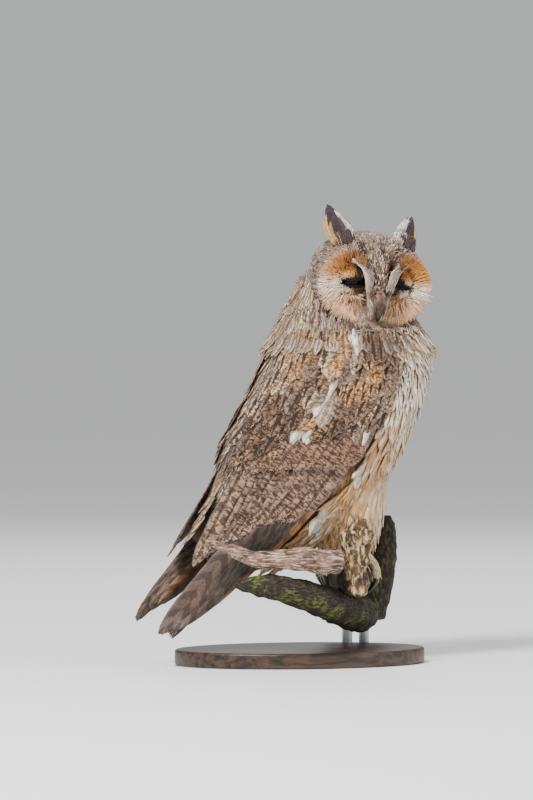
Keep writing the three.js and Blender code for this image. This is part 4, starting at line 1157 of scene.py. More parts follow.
# Colours of the disc by the place beside the eye, outward and up in mm
def discTint(outward, up, reach, inner, count):
    colour = np.tile(tone(disc["peach"]), (count, 1))
    colour = mix(colour, tone(disc["ochre"]), smooth(up, -3, 4)[:, None])
    orange = smooth(up, 4, 9) * (1 - smooth(outward, 6, 16))
    colour = mix(colour, tone(disc["orange"]), orange[:, None])
    pale = 1.1 * softPatch(outward, up, (13, -4.5), (11, 5))
    colour = mix(colour, tone(disc["pale"]), np.clip(pale, 0, 1)[:, None])
    streak = (rng.random(count) < 0.45) * softPatch(outward, up, (1, -12), (9, 6))
    colour = mix(colour, tone(disc["rust"]), streak[:, None])
    # Next to the brow the disc turns near black: partly dark feathers from the eye's inner corner up to the
    # brow, partly painted shade in the crease between brow and disc.
    dark = (1 - smooth(inner, 5.0, 12.0)) * smooth(up, -14, -6) * (1 - 0.8 * smooth(up, 10, 15))
    colour = mix(colour, tone(disc["dark"]), np.clip(1.2 * dark, 0, 1)[:, None])
    blotch = softPatch(outward, up, (18, -19), (10, 7)) * smooth(reach, 0.62, 0.85)
    colour = mix(colour, tone(disc["blotch"]), np.clip(1.1 * blotch, 0, 1)[:, None])
    grey = smooth(reach, 0.72, 1.0) * rng.uniform(0.3, 1.0, count)
    colour = mix(colour, tone(disc["grey"]), grey[:, None])
    return colour * rng.uniform(0.82, 1.12, (count, 1))


def discField(s):
    starts = []
    for distance in np.arange(*disc["distances"]):
        count = int(2 * np.pi * distance / disc["spacing"])
        angle = (np.arange(count) + rng.random()) / count * 2 * np.pi
        starts.append(np.stack([distance * np.cos(angle), distance * np.sin(angle)], -1))
    starts = np.concatenate(starts)
    starts += rng.normal(0, 0.3, starts.shape)
    aside, z = starts[:, 0] + eye["aside"], starts[:, 1]
    reach = discReach(aside, z)
    on = (reach < disc["rim"]) & (aside > browEdge(z) + 0.3) & (aside > 1.0)
    starts, aside, z, reach = starts[on], aside[on], z[on], reach[on]
    count = len(z)
    ahead = fromHead(np.stack([np.full(count, 60.0), s * aside, z], -1))
    places, normals, met = dropOnSkin(ahead, turnHead(np.tile([-1.0, 0, 0], (count, 1))))
    distance = np.linalg.norm(starts, axis=1)
    out = turnHead(np.stack([0.0 * z, s * starts[:, 0] / distance, starts[:, 1] / distance], -1))
    forward = turnHead(np.array([1.0, 0, 0]))
    lift = disc["lift"] * (1 - smooth(distance, 11, 19))
    normals = unit(normals + disc["forwardLean"] * forward)
    longest = mix(disc["longest"], disc["shortest"], smooth(reach, 0.6, 1.0))
    length = rng.uniform(*disc["length"], count) * longest * np.where(rng.random(count) < 0.2, 1.25, 1.0)
    width = rng.uniform(*disc["width"], count)
    rise = rng.normal(*disc["rise"], count)
    sway = rng.normal(0, disc["sway"], count)
    tint = discTint(starts[:, 0], starts[:, 1], reach, aside - browEdge(z), count)
    rimMark = smooth(reach, 0.85, 1.0)
    mark = np.stack([0 * rimMark, 0.6 * rimMark, 0 * rimMark, 0.1 + 0 * rimMark], -1)
    field = dict(root=places + forward * lift[:, None] - normals * 0.4, normal=normals, heading=out,
                 length=length, width=width, rise=rise, curl=disc["curl"], sway=sway, tint=tint, mark=mark,
                 unwrap=faceMap(s * aside, z))
    return keep(field, met & (toHead(places)[:, 0] > 6))


lids = dict(polar=(0.16, 1.5, 0.075), radius=10.9, roots=10.2, spacing=1.0, tilt=6, slitBelow=1.5,
            openings={-1: (2.5, 0.3), 1: (0.5, 0.35)}, length=(2.8, 3.8), width=(0.7, 1.1), rise=(9, 3),
            curl=0.12, sway=0.1, rimColour="#33221c")


# The lids have the shortest feathers of all, round a bare dark rim.
def lidField(s):
    places, radius = [], lids["radius"]
    for polar in np.arange(*lids["polar"]):
        count = max(4, int(2 * np.pi * math.sin(polar) * radius / lids["spacing"]))
        angle = (np.arange(count) + rng.random()) / count * 2 * np.pi
        places.append(np.stack([np.full(count, math.cos(polar)), math.sin(polar) * np.cos(angle) * s,
                                math.sin(polar) * np.sin(angle)], -1))
    places = np.concatenate(places)
    tilt = math.sin(math.radians(lids["tilt"] * s))
    slit = places[:, 2] * radius + tilt * places[:, 1] * radius + lids["slitBelow"]
    almond = np.sqrt(np.clip(1 - places[:, 1] ** 2 / 0.86, 0, 1))
    opening, rim = lids["openings"][s]
    bare = opening * almond + rim
    on = np.abs(slit) > bare
    places, slit, bare = places[on], slit[on], bare[on]
    count = len(places)
    heading = unit(places * np.array([0, 1, 1])) + np.stack([0 * slit, 0 * slit, 0.6 * np.sign(slit)], -1)
    outward, up = places[:, 1] * s * radius, places[:, 2] * radius
    # Towards the inner corner the lids take the disc's near-black tone by the brow, partly dark feathers
    # and partly painted shade.
    tint = discTint(outward + 3, up * 1.2, np.full(count, 0.4), 8 + outward, count)
    nearRim = (1 - smooth(np.abs(slit) - bare, 0, 1.8))[:, None]
    tint = mix(tint, tone(lids["rimColour"]), 0.75 * nearRim)
    outer = (1 - smooth(places[:, 0], 0.35, 0.85))[:, None]
    normal = unit(places + np.array([1.5, 0, 0]) * outer)
    vanes = drawVanes(lids, count)
    vanes["length"] = vanes["length"] + 3.4 * outer[:, 0]
    return dict(root=fromHead(places * lids["roots"] + eyeCentres[s]), normal=turnHead(normal),
                heading=turnHead(heading), tint=tint, mark=(0, 0, 0, 0),
                unwrap=faceMap(s * (eye["aside"] + outward), up), **vanes)


discFields = [makeField(s) for s in (-1, 1) for makeField in (discField, lidField)]
discPiece = growFeathers("disc_feathers", joinFields(discFields),
                         dict(rings=4, jag=0.1, thickness=0.18, end=0.3, base=0.6))
settle(discPiece, "head_plumage", faceFeather)
print("disc done")


forehead = dict(length=(3.0, 4.6), width=(1.0, 1.6), rise=(12, 3), curl=0.06, sway=0.12,
                mark=(0.25, 0.6, 0, 0.08), pale="#e4cdb9", brown="#8a6452", dark="#2b1c1a", low="#d8ccc0",
                blotch="#35231f")


# Lines that reach the face from the front, in staggered rows
def frontLines():
    starts = []
    for row, z in enumerate(np.arange(37, -36, -1.1)):
        y = np.arange(-46, 46, 1.15) + 0.6 * (row % 2)
        starts.append(np.stack([np.full(len(y), 70.0), y, np.full(len(y), z)], -1))
    starts = np.concatenate(starts)
    starts[:, 1:] += rng.normal(0, 0.35, (len(starts), 2))
    aside, z = np.abs(starts[:, 1]), starts[:, 2]
    wedge = (aside < browEdge(z) - 0.2) & (z > -13)
    on = wedge | (discReach(aside, z) > 0.93)
    return starts[on], wedge[on]


# Lines that reach the forehead from above, straight and at a slant
def topLines():
    above = np.array([(x, y, 60.0) for x in np.arange(2, 31, 1.3) for y in np.arange(-27, 27, 1.3)])
    above[:, :2] += rng.normal(0, 0.4, (len(above), 2))
    steps, across = np.arange(-14, 16, 0.9), np.arange(-26, 26, 1.25)
    slant = np.array([(60 - step, y, 60 + step) for step in steps for y in across])
    slant[:, 1] += rng.normal(0, 0.4, len(slant))
    straight = np.tile([0, 0, -1.0], (len(above), 1))
    slanting = np.tile([-0.707, 0, -0.707], (len(slant), 1))
    return np.vstack([above, slant]), np.vstack([straight, slanting])


# Small speckled feathers round the disc, and over the forehead that runs down between the brows as a wedge
def foreheadCoat():
    starts, wedge = frontLines()
    places, normals, met = dropOnSkin(fromHead(starts), turnHead(np.tile([-1.0, 0, 0], (len(starts), 1))))
    met &= toHead(places)[:, 0] > 9
    above, down = topLines()
    topPlaces, topNormals, topMet = dropOnSkin(fromHead(above), turnHead(down))
    topLocal = toHead(topPlaces)
    aloft, height = np.abs(topLocal[:, 1]), topLocal[:, 2]
    topMet &= (height > 2) & ((discReach(aloft, height) > 0.97) | (aloft < browEdge(height) - 0.5))
    places, normals = np.vstack([places, topPlaces]), np.vstack([normals, topNormals])
    met = np.append(met, topMet)
    starts = np.vstack([starts, topLocal])
    aside, z = np.abs(starts[:, 1]), starts[:, 2]
    wedge = np.append(wedge, aloft < browEdge(height))
    count = len(starts)
    upward = np.stack([-0.6 + 0 * z, 0.035 * starts[:, 1], 1 + 0 * z], -1)
    outward = unit(np.stack([-0.5 + 0 * z, starts[:, 1] / 22, (z + 3) / 26], -1))
    heading = np.where((wedge | ((z > -2) & (aside < 24)))[:, None], upward, outward)
    pick = rng.random(count)[:, None]
    speckled = np.where(pick < 0.32, tone(forehead["pale"]),
                        np.where(pick < 0.52, tone(forehead["brown"]), tone(forehead["dark"])))
    crowned = crownTint(starts * np.array([0, 1, 1]), count)
    tint = np.where((wedge & (z < 24))[:, None], speckled, mix(crowned, speckled, 0.45))
    low = (1 - smooth(z, -26, -8))[:, None]
    tint = mix(tint, tone(forehead["low"]), 0.35 * low * (1 - wedge[:, None]))
    blotch = softPatch(aside, z, (36, -19), (9, 7))[:, None]
    tint = mix(tint, tone(forehead["blotch"]), 0.8 * blotch)
    field = dict(root=places - normals * 0.3, normal=unit(normals), heading=turnHead(heading), tint=tint,
                 mark=forehead["mark"], unwrap=faceMap(starts[:, 1], starts[:, 2]),
                 **drawVanes(forehead, count))
    return growFeathers("forehead_feathers", joinFields([keep(field, met)]),
                        dict(rings=4, jag=0.2, thickness=0.18, end=0.45))


settle(foreheadCoat(), "head_plumage", headFeather)


upperStops = [((27, 0, -7), 4.6), ((32, 0, -11), 4.8), ((35.5, 0, -18), 3.8), ((35.5, 0, -25), 2.3),
              ((34, 0, -29), 0.5)]
brow = dict(levels=(0.05, 4.6, 120), around=(-95, 95), rows=19, scatter=1.0, length=(5, 9),
            width=(0.4, 0.7), rise=(3, 3), curl=0.08, sway=0.08, grey="#b5a698", white="#ece5dc",
            low="#8b817a", dark="#4a3f3a")
bristles = dict(levels=(0.0, 1.95, 46), around=(-125, 126, 11), scatter=0.6, length=(3.5, 6.0),
                width=(0.45, 0.8), rise=(4, 3), curl=0.05, sway=0.12, side="#a89c92", middle="#5b453b",
                tip="#2a2524")


def hairField(root, normal, ahead, tint, vanes):
    return dict(root=fromHead(root), normal=turnHead(normal), heading=turnHead(ahead), tint=tint,
                mark=(0, 0, 0, 0), unwrap=faceMap(root[:, 1], root[:, 2]), **vanes)


def browFields(s):
    fields = []
    level = np.linspace(*brow["levels"])
    line = readRow([(x, y * s, z, radius) for x, y, z, radius in browHair], level)
    ahead = unit(np.gradient(line[:, :3], axis=0))
    count, rows = len(level), brow["rows"]
    low = smooth(level, 1.5, 4.6)[:, None]
    for k in range(rows):
        angle = np.radians(mix(*brow["around"], k / (rows - 1)))
        outward = unit(np.array([1.0, 0, 0]) - ahead * ahead[:, :1])
        normal = outward * math.cos(angle) + np.cross(ahead, outward) * math.sin(angle)
        scatter = ahead * rng.normal(0, brow["scatter"], (count, 1))
        root = line[:, :3] + normal * (line[:, 3:] - 1.1) + scatter
        edge = abs(k - 9) / 9
        tint = mix(mix(tone(brow["grey"]), tone(brow["white"]), edge ** 2), tone(brow["low"]), 0.75 * low)
        tint = np.where(rng.random((count, 1)) < 0.13, tone(brow["dark"]), tint)
        tint = tint * rng.uniform(0.75, 1.1, (count, 1))
        vanes = drawVanes(brow, count)
        vanes["length"] = vanes["length"] * mix(1, 0.55, smooth(level, 2.6, 4.4))
        fields.append(hairField(root, normal, ahead, tint, vanes))
    return fields


def billBristles():
    fields = []
    level = np.linspace(*bristles["levels"])
    line = readRow([(*at, radius) for at, radius in upperStops], level)
    ahead = unit(np.gradient(line[:, :3], axis=0))
    front = unit(np.cross(np.array([0, 1.0, 0]), ahead))
    front *= np.sign(front[:, :1] + 1e-6)
    count = len(level)
    for degrees in np.arange(*bristles["around"]):
        angle = math.radians(degrees)
        normal = front * math.cos(angle) + np.array([0, math.sin(angle), 0])
        scatter = ahead * rng.normal(0, bristles["scatter"], (count, 1))
        root = line[:, :3] + normal * line[:, 3:] * 0.94 + scatter
        middle = math.exp(-(degrees / 22) ** 2)
        tint = mix(tone(bristles["side"]), tone(bristles["middle"]), middle)
        tint = mix(tint, tone(bristles["tip"]), smooth(level, 0.4, 1.9)[:, None])
        tint = tint * rng.uniform(0.75, 1.12, (count, 1))
        fields.append(hairField(root, normal, ahead, tint, drawVanes(bristles, count)))
    return fields


# Fine bristles run down each brow and on over the sides of the bill, all but its tip.
bristleFields = browFields(-1) + browFields(1) + billBristles()
browPiece = growFeathers("brow_bristles", joinFields(bristleFields),
                         dict(rings=4, jag=0.08, thickness=0.16, end=0.25, base=0.7))
settle(browPiece, "head_plumage", faceFeather)


# Ear tufts are layers of long vanes, whitish on the inner edge and buff on the outer, over short down.
tuft = dict(lean={-1: (-0.5, -0.3, 0.8), 1: (-0.55, 0.42, 0.7)}, foot=(7.0, 25, 29),
            layers=(1.0, 0.96, 0.88, 0.7), count=13, longest=37.5, shorter=10, spread=7.5, fan=0.2,
            width=5.0, rise=-1.0, curl=0.09, roll=8, dark="#2c2127", inner="#ece5dc", outer="#cf9d60")
tuftDown = dict(count=260, radius=(9.0, 7.0), length=(5, 9), width=(1.4, 2.2), rise=(1, 2), curl=0.02,
                sway=0.1, dark="#3a2a28", inner="#ddd2c6", outer="#c99a62", mark=(0, 0.6, 0, 0.1))


def tuftLayer(side, layer, foot, rise, across, normal):
    count = tuft["count"]
    spread = np.clip(np.linspace(-1, 1, count) + rng.normal(0, 0.05, count), -1, 1)
    length = (tuft["longest"] - tuft["shorter"] * np.abs(spread) ** 1.6) * tuft["layers"][layer]
    length = length * rng.uniform(0.93, 1.02, count)
    root = foot - rise * 5 + across * (spread * tuft["spread"])[:, None] * -side
    root = root + normal * (layer * 1.3 - 2.2)
    aim = rise + across * (spread * tuft["fan"])[:, None] * -side
    tint = mix(tone(tuft["dark"]), tone(tuft["inner"]), smooth(-spread, 0.42, 0.62)[:, None])
    tint = mix(tint, tone(tuft["outer"]), smooth(spread, 0.74, 0.95)[:, None])
    mark = np.stack([0 * spread, 0.2 + 0.5 * smooth(-spread, 0.3, 0.6), 0 * spread, 0 * spread], -1)
    return dict(root=fromHead(root), normal=turnHead(np.tile(normal, (count, 1))), heading=turnHead(aim),
                length=length, width=tuft["width"], rise=tuft["rise"], curl=tuft["curl"],
                sway=-0.3 * side * spread, tint=tint, mark=mark, roll=rng.normal(0, tuft["roll"], count),
                unwrap=np.stack([0.5 + spread * 0.1 + side * 0.2, 0.8 + 0.02 * layer + 0 * spread], -1))


def tuftDownField(side, foot, rise, across, normal):
    count = tuftDown["count"]
    angle, up = rng.uniform(0, 2 * np.pi, count), rng.random(count)
    around = across * np.cos(angle)[:, None] + normal * np.sin(angle)[:, None]
    root = foot + rise * (up * 8 - 9)[:, None] + around * mix(*tuftDown["radius"], up)[:, None]
    edge = -side * np.cos(angle) + rng.normal(0, 0.25, count)
    tint = mix(tone(tuftDown["dark"]), tone(tuftDown["inner"]), smooth(-edge, 0.6, 1.0)[:, None])
    tint = mix(tint, tone(tuftDown["outer"]), smooth(edge, 0.8, 1.1)[:, None])
    return dict(root=fromHead(root), normal=turnHead(around),
                heading=turnHead(np.tile(rise, (count, 1)) + around * 0.05), tint=tint,
                mark=tuftDown["mark"], **drawVanes(tuftDown, count),
                unwrap=np.stack([0.5 + 0.1 * np.cos(angle) + side * 0.2, 0.9 + 0.05 * up], -1))


for side, word in ((-1, "right"), (1, "left")):
    rise = unit(np.array(tuft["lean"][side]))
    normal = unit(np.array([1.0, 0, 0]) - rise * rise[0])
    across = np.cross(normal, rise)
    foot = np.array(tuft["foot"]) * np.array([1, side, 1])
    fields = [tuftLayer(side, layer, foot, rise, across, normal) for layer in range(len(tuft["layers"]))]
    fields.append(tuftDownField(side, foot, rise, across, normal))
    piece = growFeathers(f"tuft_feathers_{word}", joinFields(fields),
                         dict(section=fullSection, rings=14, jag=0.08, thickness=0.3, end=0.4, base=0.6,
                              droop=0.2))
    settle(piece, "tuft", tuftFeather, f"ear_tuft_{word}")
print("head plumage done")


# Legs and feet have short plain down to the claws.
legDown = dict(rowStep=1.6, spacing=2.2, sunk=1.0, scatter=0.5, length=(3.5, 5.0), width=(1.5, 2.2),
               rise=(6, 2), curl=0.06, buff="#d9b684", pale="#ecdcc2", mark=(0.05, 0.05, 0, 0.2))


def downAlong(stops, index):
    fields = []
    table = np.array([[*at, radius] for at, radius in stops], float)
    span = np.linalg.norm(np.diff(table[:, :3], axis=0), axis=1).sum()
    level = np.arange(0, len(table) - 1, legDown["rowStep"] / span * (len(table) - 1))
    line = readRow(table, level)
    ahead = unit(np.gradient(line[:, :3], axis=0))
    helper = unit(np.cross(ahead, [0.2, 0.9, 0.3]))
    other = np.cross(ahead, helper)
    count = len(level)
    around = max(8, int(2 * math.pi * table[0, 3] / legDown["spacing"]))
    for k in range(around):
        angle = 2 * math.pi * k / around
        normal = helper * math.cos(angle) + other * math.sin(angle)
        scatter = ahead * rng.normal(0, legDown["scatter"], (count, 1))
        root = line[:, :3] + normal * (line[:, 3:] - legDown["sunk"]) + scatter
        tint = mix(tone(legDown["buff"]), tone(legDown["pale"]), rng.random((count, 1)))
        vanes = drawVanes(legDown, count)
        vanes["length"] = vanes["length"] * (1.5 if index == 0 else 1)
        lengthwise = 0.1 + 0.15 * level / len(table) + 0.1 * index
        fields.append(dict(root=root, normal=normal, heading=ahead, tint=tint, mark=legDown["mark"],
                           unwrap=np.stack([0.1 + 0.8 * np.full(count, k / around), lengthwise], -1),
                           **vanes))
    return fields


def legCoat():
    fields = []
    for s in (-1, 1):
        ankle = anklePlace(s)
        lines = [[(ankle + np.array([-3, s, 20]), 12), (ankle + np.array([-1, s * 0.5, 9]), 8.6),
                  (ankle, 6)]]
        lines += [[(place, radius + 0.4) for place, radius in toeStops(s, toe)] for toe in toes]
        for index, stops in enumerate(lines):
            fields += downAlong(stops, index)
    return growFeathers("leg_feathers", joinFields(fields),
                        dict(rings=4, jag=0.12, thickness=0.25, end=0.4))


settle(legCoat(), "leg_plumage", bodyFeather)
print("legs done")


# Horn, eyes and lids

# Keratin horn is polished by use and shows fine growth lines. The bare rim of the lids is thin dark skin,
# dry and slightly uneven.
hornLook = dict(dark="#0d0b0d", pale="#37312f", patch=1.5, detail=4.0, roughness=0.32)
lidLook = dict(dark="#0b0807", pale="#2c211d", patch=0.9, detail=4.0, roughness=0.85, specular=0.1)
hornMaterial = twoToneMaterial("keratin_horn_black", hornLook)
lidMaterial = twoToneMaterial("bare_lid_skin", lidLook)

# A tear film over a black pupil and an orange iris gives one sharp glint.
eyeFinish = dict(white="#0a0808", iris="#5a2c0c", pupil="#020202", roughness=0.1, specular=0.12)
eyeMaterial, tree, shader = newMaterial("wet_eye")
irisPlace = addNode(tree, "Attribute", attribute_name="irisPlace").outputs["Vector"]
facing = addNode(tree, "SeparateXYZ", {0: irisPlace}).outputs[0]
irisMask = addNode(tree, "MapRange", {0: facing, 1: 0.2, 2: 0.3}, interpolation_type="SMOOTHSTEP")
pupilMask = addNode(tree, "MapRange", {0: facing, 1: 0.36, 2: 0.42}, interpolation_type="SMOOTHSTEP")
eyeColours = {0: irisMask, 6: hexColour(eyeFinish["white"]), 7: hexColour(eyeFinish["iris"])}
iris = addNode(tree, "Mix", eyeColours, data_type="RGBA")
pupil = addNode(tree, "Mix", {0: pupilMask, 6: iris, 7: hexColour(eyeFinish["pupil"])}, data_type="RGBA")
setInputs(shader, {"Base Color": pupil, "Roughness": eyeFinish["roughness"],
                   "Specular IOR Level": eyeFinish["specular"]})


def ballPiece(name, centre, radius, segments=48, rings=32):
    bpy.ops.object.select_all(action="DESELECT")
    bpy.ops.mesh.primitive_uv_sphere_add(segments=segments, ring_count=rings, radius=radius * mm,
                                         location=Vector(centre) * mm)
    piece = bpy.context.object
    piece.name = name
    bpy.ops.object.transform_apply(location=True, rotation=True, scale=True)
    bpy.ops.object.shade_smooth()
    return piece


# Each lid is a thin shell over the eyeball, cut off at the slit, whose edges stand at these heights in mm.
lidShell = dict(gap=0.35, thickness=0.9, bevel=0.25, behind=2,
                heights={-1: dict(upper=1.6, lower=-1.7), 1: dict(upper=0.15, lower=-0.15)})


def lidPiece(s, word, part, centre, look):
    lid = ballPiece(f"lid_{word}_{part}_skin", centre, eye["radius"] + lidShell["gap"])
    activate(lid)
    bpy.ops.object.mode_set(mode="EDIT")
    bpy.ops.mesh.select_all(action="SELECT")
    up = turnHead(np.array([0.0, math.sin(math.radians(lids["tilt"] * s)), 1.0]))
    cut = centre + up * (lidShell["heights"][s][part] - lids["slitBelow"])
    bpy.ops.mesh.bisect(plane_co=Vector(cut) * mm, plane_no=Vector(up), clear_inner=part == "upper",
                        clear_outer=part == "lower")
    bpy.ops.mesh.select_all(action="SELECT")
    behind = Vector(centre - look * lidShell["behind"]) * mm
    bpy.ops.mesh.bisect(plane_co=behind, plane_no=Vector(look), clear_inner=True)
    bpy.ops.object.mode_set(mode="OBJECT")
    applyModifier(lid, "SOLIDIFY", thickness=lidShell["thickness"] * mm, offset=1)
    applyModifier(lid, "BEVEL", width=lidShell["bevel"] * mm, segments=2)
    bpy.ops.object.shade_smooth()
    settle(lid, "lid", lidMaterial, f"lid_{word}_{part}")


for s, word in ((-1, "right"), (1, "left")):
    centre = fromHead(eyeCentres[s])
    ball = ballPiece(f"eyeball_{word}", centre, eye["radius"])
    look = turnHead(np.array([1.0, 0, 0]))
    points = np.array([vertex.co[:] for vertex in ball.data.vertices])
    store = np.zeros((len(points), 3))
    store[:, 0] = unit(points / mm - centre) @ look
    ball.data.attributes.new("irisPlace", "FLOAT_VECTOR", "POINT").data.foreach_set("vector", store.ravel())
    settle(ball, "eye", eyeMaterial, f"eye_{word}")
    for part in ("upper", "lower"):
        lidPiece(s, word, part, centre, look)

lowerStops = [((25, 0, -19), 3.2), ((29, 0, -22), 2.8), ((31.2, 0, -25.5), 0.8)]
for name, stops, node in (("bill_upper", upperStops, "beak_upper"),
                          ("bill_lower", lowerStops, "beak_lower")):
    bill = joinedLofts(name, [closedLoft(fromHead(limbRings(stops, 24, 24, 0.9)))])
    smoothFaces(bill)
    settle(bill, "horn", hornMaterial, node)

# The talons curve on round the limb from the ends of the toes, thinning to a point.
talon = dict(shares=(0, 0.35, 0.7, 1), turns=(9, 50), sink=(0.3, 2.6), radius=(2.4, 0.35), steps=18,
             around=16)
for s, word in ((-1, "right"), (1, "left")):
    for name, aside, start, end in toes:
        stops = []
        for share in talon["shares"]:
            turn = np.sign(end - start) * mix(*talon["turns"], share)
            reach = legReach - mix(*talon["sink"], share)
            at = roundLimb(gripFrame(s * footAside), end + turn, reach, -s * aside)
            stops.append((at, mix(*talon["radius"], share)))
        claw = limbPiece(f"talon_{word}_{name}", stops, talon["steps"], talon["around"])
        smoothFaces(claw)
        settle(claw, "horn", hornMaterial, f"claw_{word}_{name}")
print("horn and eyes done")


# Perch

# Bark and dead wood are rough and dull, with broad patches, a grain along the limb and dark cracks.
# Patch and grain are sizes in mm, moss and cracks are shares, and stretch draws the grain out.
barks = dict(
    trunk=dict(colours=("#0e0b08", "#211a14", "#4d3c26"), patch=9, moss=0.5, grain=1.8, cracks=0.4,
               stretch=(1, 1, 0.3)),
    weathered=dict(colours=("#3d2a22", "#8f6c5a", "#d2b4a0"), patch=10, moss=0.2, grain=1.3, cracks=0.0,
                   stretch=(0.14, 1, 1)),
    burr=dict(colours=("#24180f", "#6b4a2a", "#d0b88c"), patch=7, moss=0.0, grain=2.6, cracks=0.35,
              stretch=(1, 1, 0.3)),
    mossy=dict(colours=("#110d0a", "#271f17", "#4a3c2b"), patch=8, moss=0.8, grain=1.6, cracks=0.4,
               stretch=(0.4, 1, 1)),
)
barkDetail = dict(crackPlates=4.5, crackColour="#15100d", mossPatch=13, mossDark="#20240d",
                  mossPale="#626b26", relief=0.8, roughness=0.85)


def barkMaterial(name, look):
    material, tree, shader = newMaterial(name)
    low, high, worn = [hexColour(colour) for colour in look["colours"]]
    where = addNode(tree, "TexCoord").outputs["Object"]
    broad = addNode(tree, "TexNoise", {"Vector": where, "Scale": 1 / (look["patch"] * mm), "Detail": 5.0,
                                       "Roughness": 0.6})
    drawnOut = addNode(tree, "Mapping", {"Vector": where, "Scale": look["stretch"]})
    grain = addNode(tree, "TexNoise", {"Vector": drawnOut, "Scale": 1 / (look["grain"] * mm),
                                       "Detail": 6.0})
    plates = addNode(tree, "TexVoronoi", {"Vector": where, "Scale": 1 / (barkDetail["crackPlates"] * mm)},
                     feature="DISTANCE_TO_EDGE")
    patches = addNode(tree, "MapRange", {0: broad, 1: 0.35, 2: 0.65}, interpolation_type="SMOOTHSTEP")
    colour = addNode(tree, "Mix", {0: patches, 6: low, 7: high}, data_type="RGBA")
    wear = addNode(tree, "MapRange", {0: grain, 1: 0.45, 2: 0.7}, interpolation_type="SMOOTHSTEP")
    colour = addNode(tree, "Mix", {0: wear, 6: colour, 7: worn}, data_type="RGBA")
    whole = addNode(tree, "MapRange", {0: plates, 1: 0.0, 2: 0.08}, interpolation_type="SMOOTHSTEP")
    crack = addNode(tree, "Math", {0: 1.0, 1: whole}, operation="SUBTRACT")
    cracked = addNode(tree, "Math", {0: crack, 1: look["cracks"]}, operation="MULTIPLY")
    dark = hexColour(barkDetail["crackColour"])
    colour = addNode(tree, "Mix", {0: cracked, 6: colour, 7: dark}, data_type="RGBA")
    if look["moss"]:
        green = addNode(tree, "TexNoise", {"Vector": where, "Scale": 1 / (barkDetail["mossPatch"] * mm),
                                           "Detail": 7.0, "Roughness": 0.68})
        cover = addNode(tree, "MapRange", {0: green, 1: 0.5, 2: 0.62}, interpolation_type="SMOOTHSTEP")
        cover = addNode(tree, "Math", {0: cover, 1: look["moss"]}, operation="MULTIPLY")
        leafy = addNode(tree, "MapRange", {0: grain, 1: 0.4, 2: 0.6}, interpolation_type="SMOOTHSTEP")
        leaf = addNode(tree, "Mix", {0: leafy, 6: hexColour(barkDetail["mossDark"]),
                                     7: hexColour(barkDetail["mossPale"])}, data_type="RGBA")
        colour = addNode(tree, "Mix", {0: cover, 6: colour, 7: leaf}, data_type="RGBA")
    sunk = addNode(tree, "Math", {0: crack, 1: -look["cracks"]}, operation="MULTIPLY")
    height = addNode(tree, "Math", {0: grain, 1: 0.6, 2: sunk}, operation="MULTIPLY_ADD")
    relief = addNode(tree, "Bump", {"Height": height, "Strength": 0.7,
                                    "Distance": barkDetail["relief"] * mm})
    setInputs(shader, {"Base Color": colour, "Normal": relief, "Roughness": barkDetail["roughness"]})
    return material


trunkBark = barkMaterial("spruce_bark_dark", barks["trunk"])
weatheredWood = barkMaterial("weathered_deadwood", barks["weathered"])
burrWood = barkMaterial("burr_wood_tan", barks["burr"])
mossyBark = barkMaterial("mossy_bark", barks["mossy"])

# Stops are places and radii along each limb. Bumps and depth are the size and height of its unevenness.
limbs = dict(
    trunk=dict(name="trunk_bark", node="perch_trunk", slot="bark", bumps=7, depth=3.0, steps=24, around=24,
               stops=[((88, 48, 110), 4), ((88, 48, 100), 8.5), ((85, 48, 79), 12), ((76, 47, 54), 17),
                      ((61, 42, 30), 22), ((50, 38, 14), 23)]),
    grip=dict(name="grip_limb_bark", node="perch_limb", slot="bark", bumps=6, depth=1.0, steps=24,
              around=24,
              stops=[(gripLine["start"], 13.3), (gripFrame(-footAside)[0], 14.2),
                     (gripFrame(footAside)[0], 14.2), (gripLine["end"], 13.5), ((66, 52, 62), 12.5)]),
    burr=dict(name="burr_knot", node="perch_burr", slot="burr", bumps=13, depth=11.0, steps=22, around=22,
              flat=0.62,
              stops=[((26, -54, 56), 6), ((25, -55, 70), 10), ((24, -56, 86), 13), ((25, -55, 100), 13.5),
                     ((27, -54, 112), 6)]),
    mossy=dict(name="mossy_limb_bark", node="perch_mossy_limb", slot="moss", bumps=8, depth=4.0, steps=30,
               around=22,
               stops=[((56, 16, 36), 14), ((38, -14, 38), 13.5), ((12, -36, 46), 13), ((-22, -48, 57), 11),
                      ((-48, -52, 62), 9), ((-72, -52, 64), 3)]),
    branch=dict(name="branch_wood", node="perch_branch", slot="weathered_wood", bumps=14, depth=4.0,
                steps=30, around=18,
                stops=[((12, -55, 78), 9), ((-16, -56, 82), 9.5), ((-50, -54, 82), 6.5),
                       ((-71, -51, 88), 5), ((-93, -48, 96.5), 1.8)]),
)
trunkFoot = 30.2  # height of the level cut, just above the ends of the rods


def roughPiece(limb, material):
    piece = limbPiece(limb["name"], limb["stops"], limb["steps"], limb["around"], limb.get("flat", 1.0))
    applyModifier(piece, "SUBSURF", levels=2, render_levels=2)
    texture = bpy.data.textures.new(limb["name"], "CLOUDS")
    texture.noise_scale = limb["bumps"] * mm
    texture.noise_depth = 3
    applyModifier(piece, "DISPLACE", texture=texture, strength=limb["depth"] * mm, mid_level=0.55,
                  texture_coords="GLOBAL")
    smoothFaces(piece)
    return settle(piece, limb["slot"], material, limb["node"])


trunk = roughPiece(limbs["trunk"], trunkBark)
activate(trunk)
bpy.ops.object.mode_set(mode="EDIT")
bpy.ops.mesh.select_all(action="SELECT")
bpy.ops.mesh.bisect(plane_co=(0, 0, trunkFoot * mm), plane_no=(0, 0, 1), clear_inner=True, use_fill=True)
bpy.ops.object.mode_set(mode="OBJECT")
roughPiece(limbs["grip"], trunkBark)
roughPiece(limbs["burr"], burrWood)
roughPiece(limbs["mossy"], mossyBark)
roughPiece(limbs["branch"], weatheredWood)
print("perch done")


# Stand

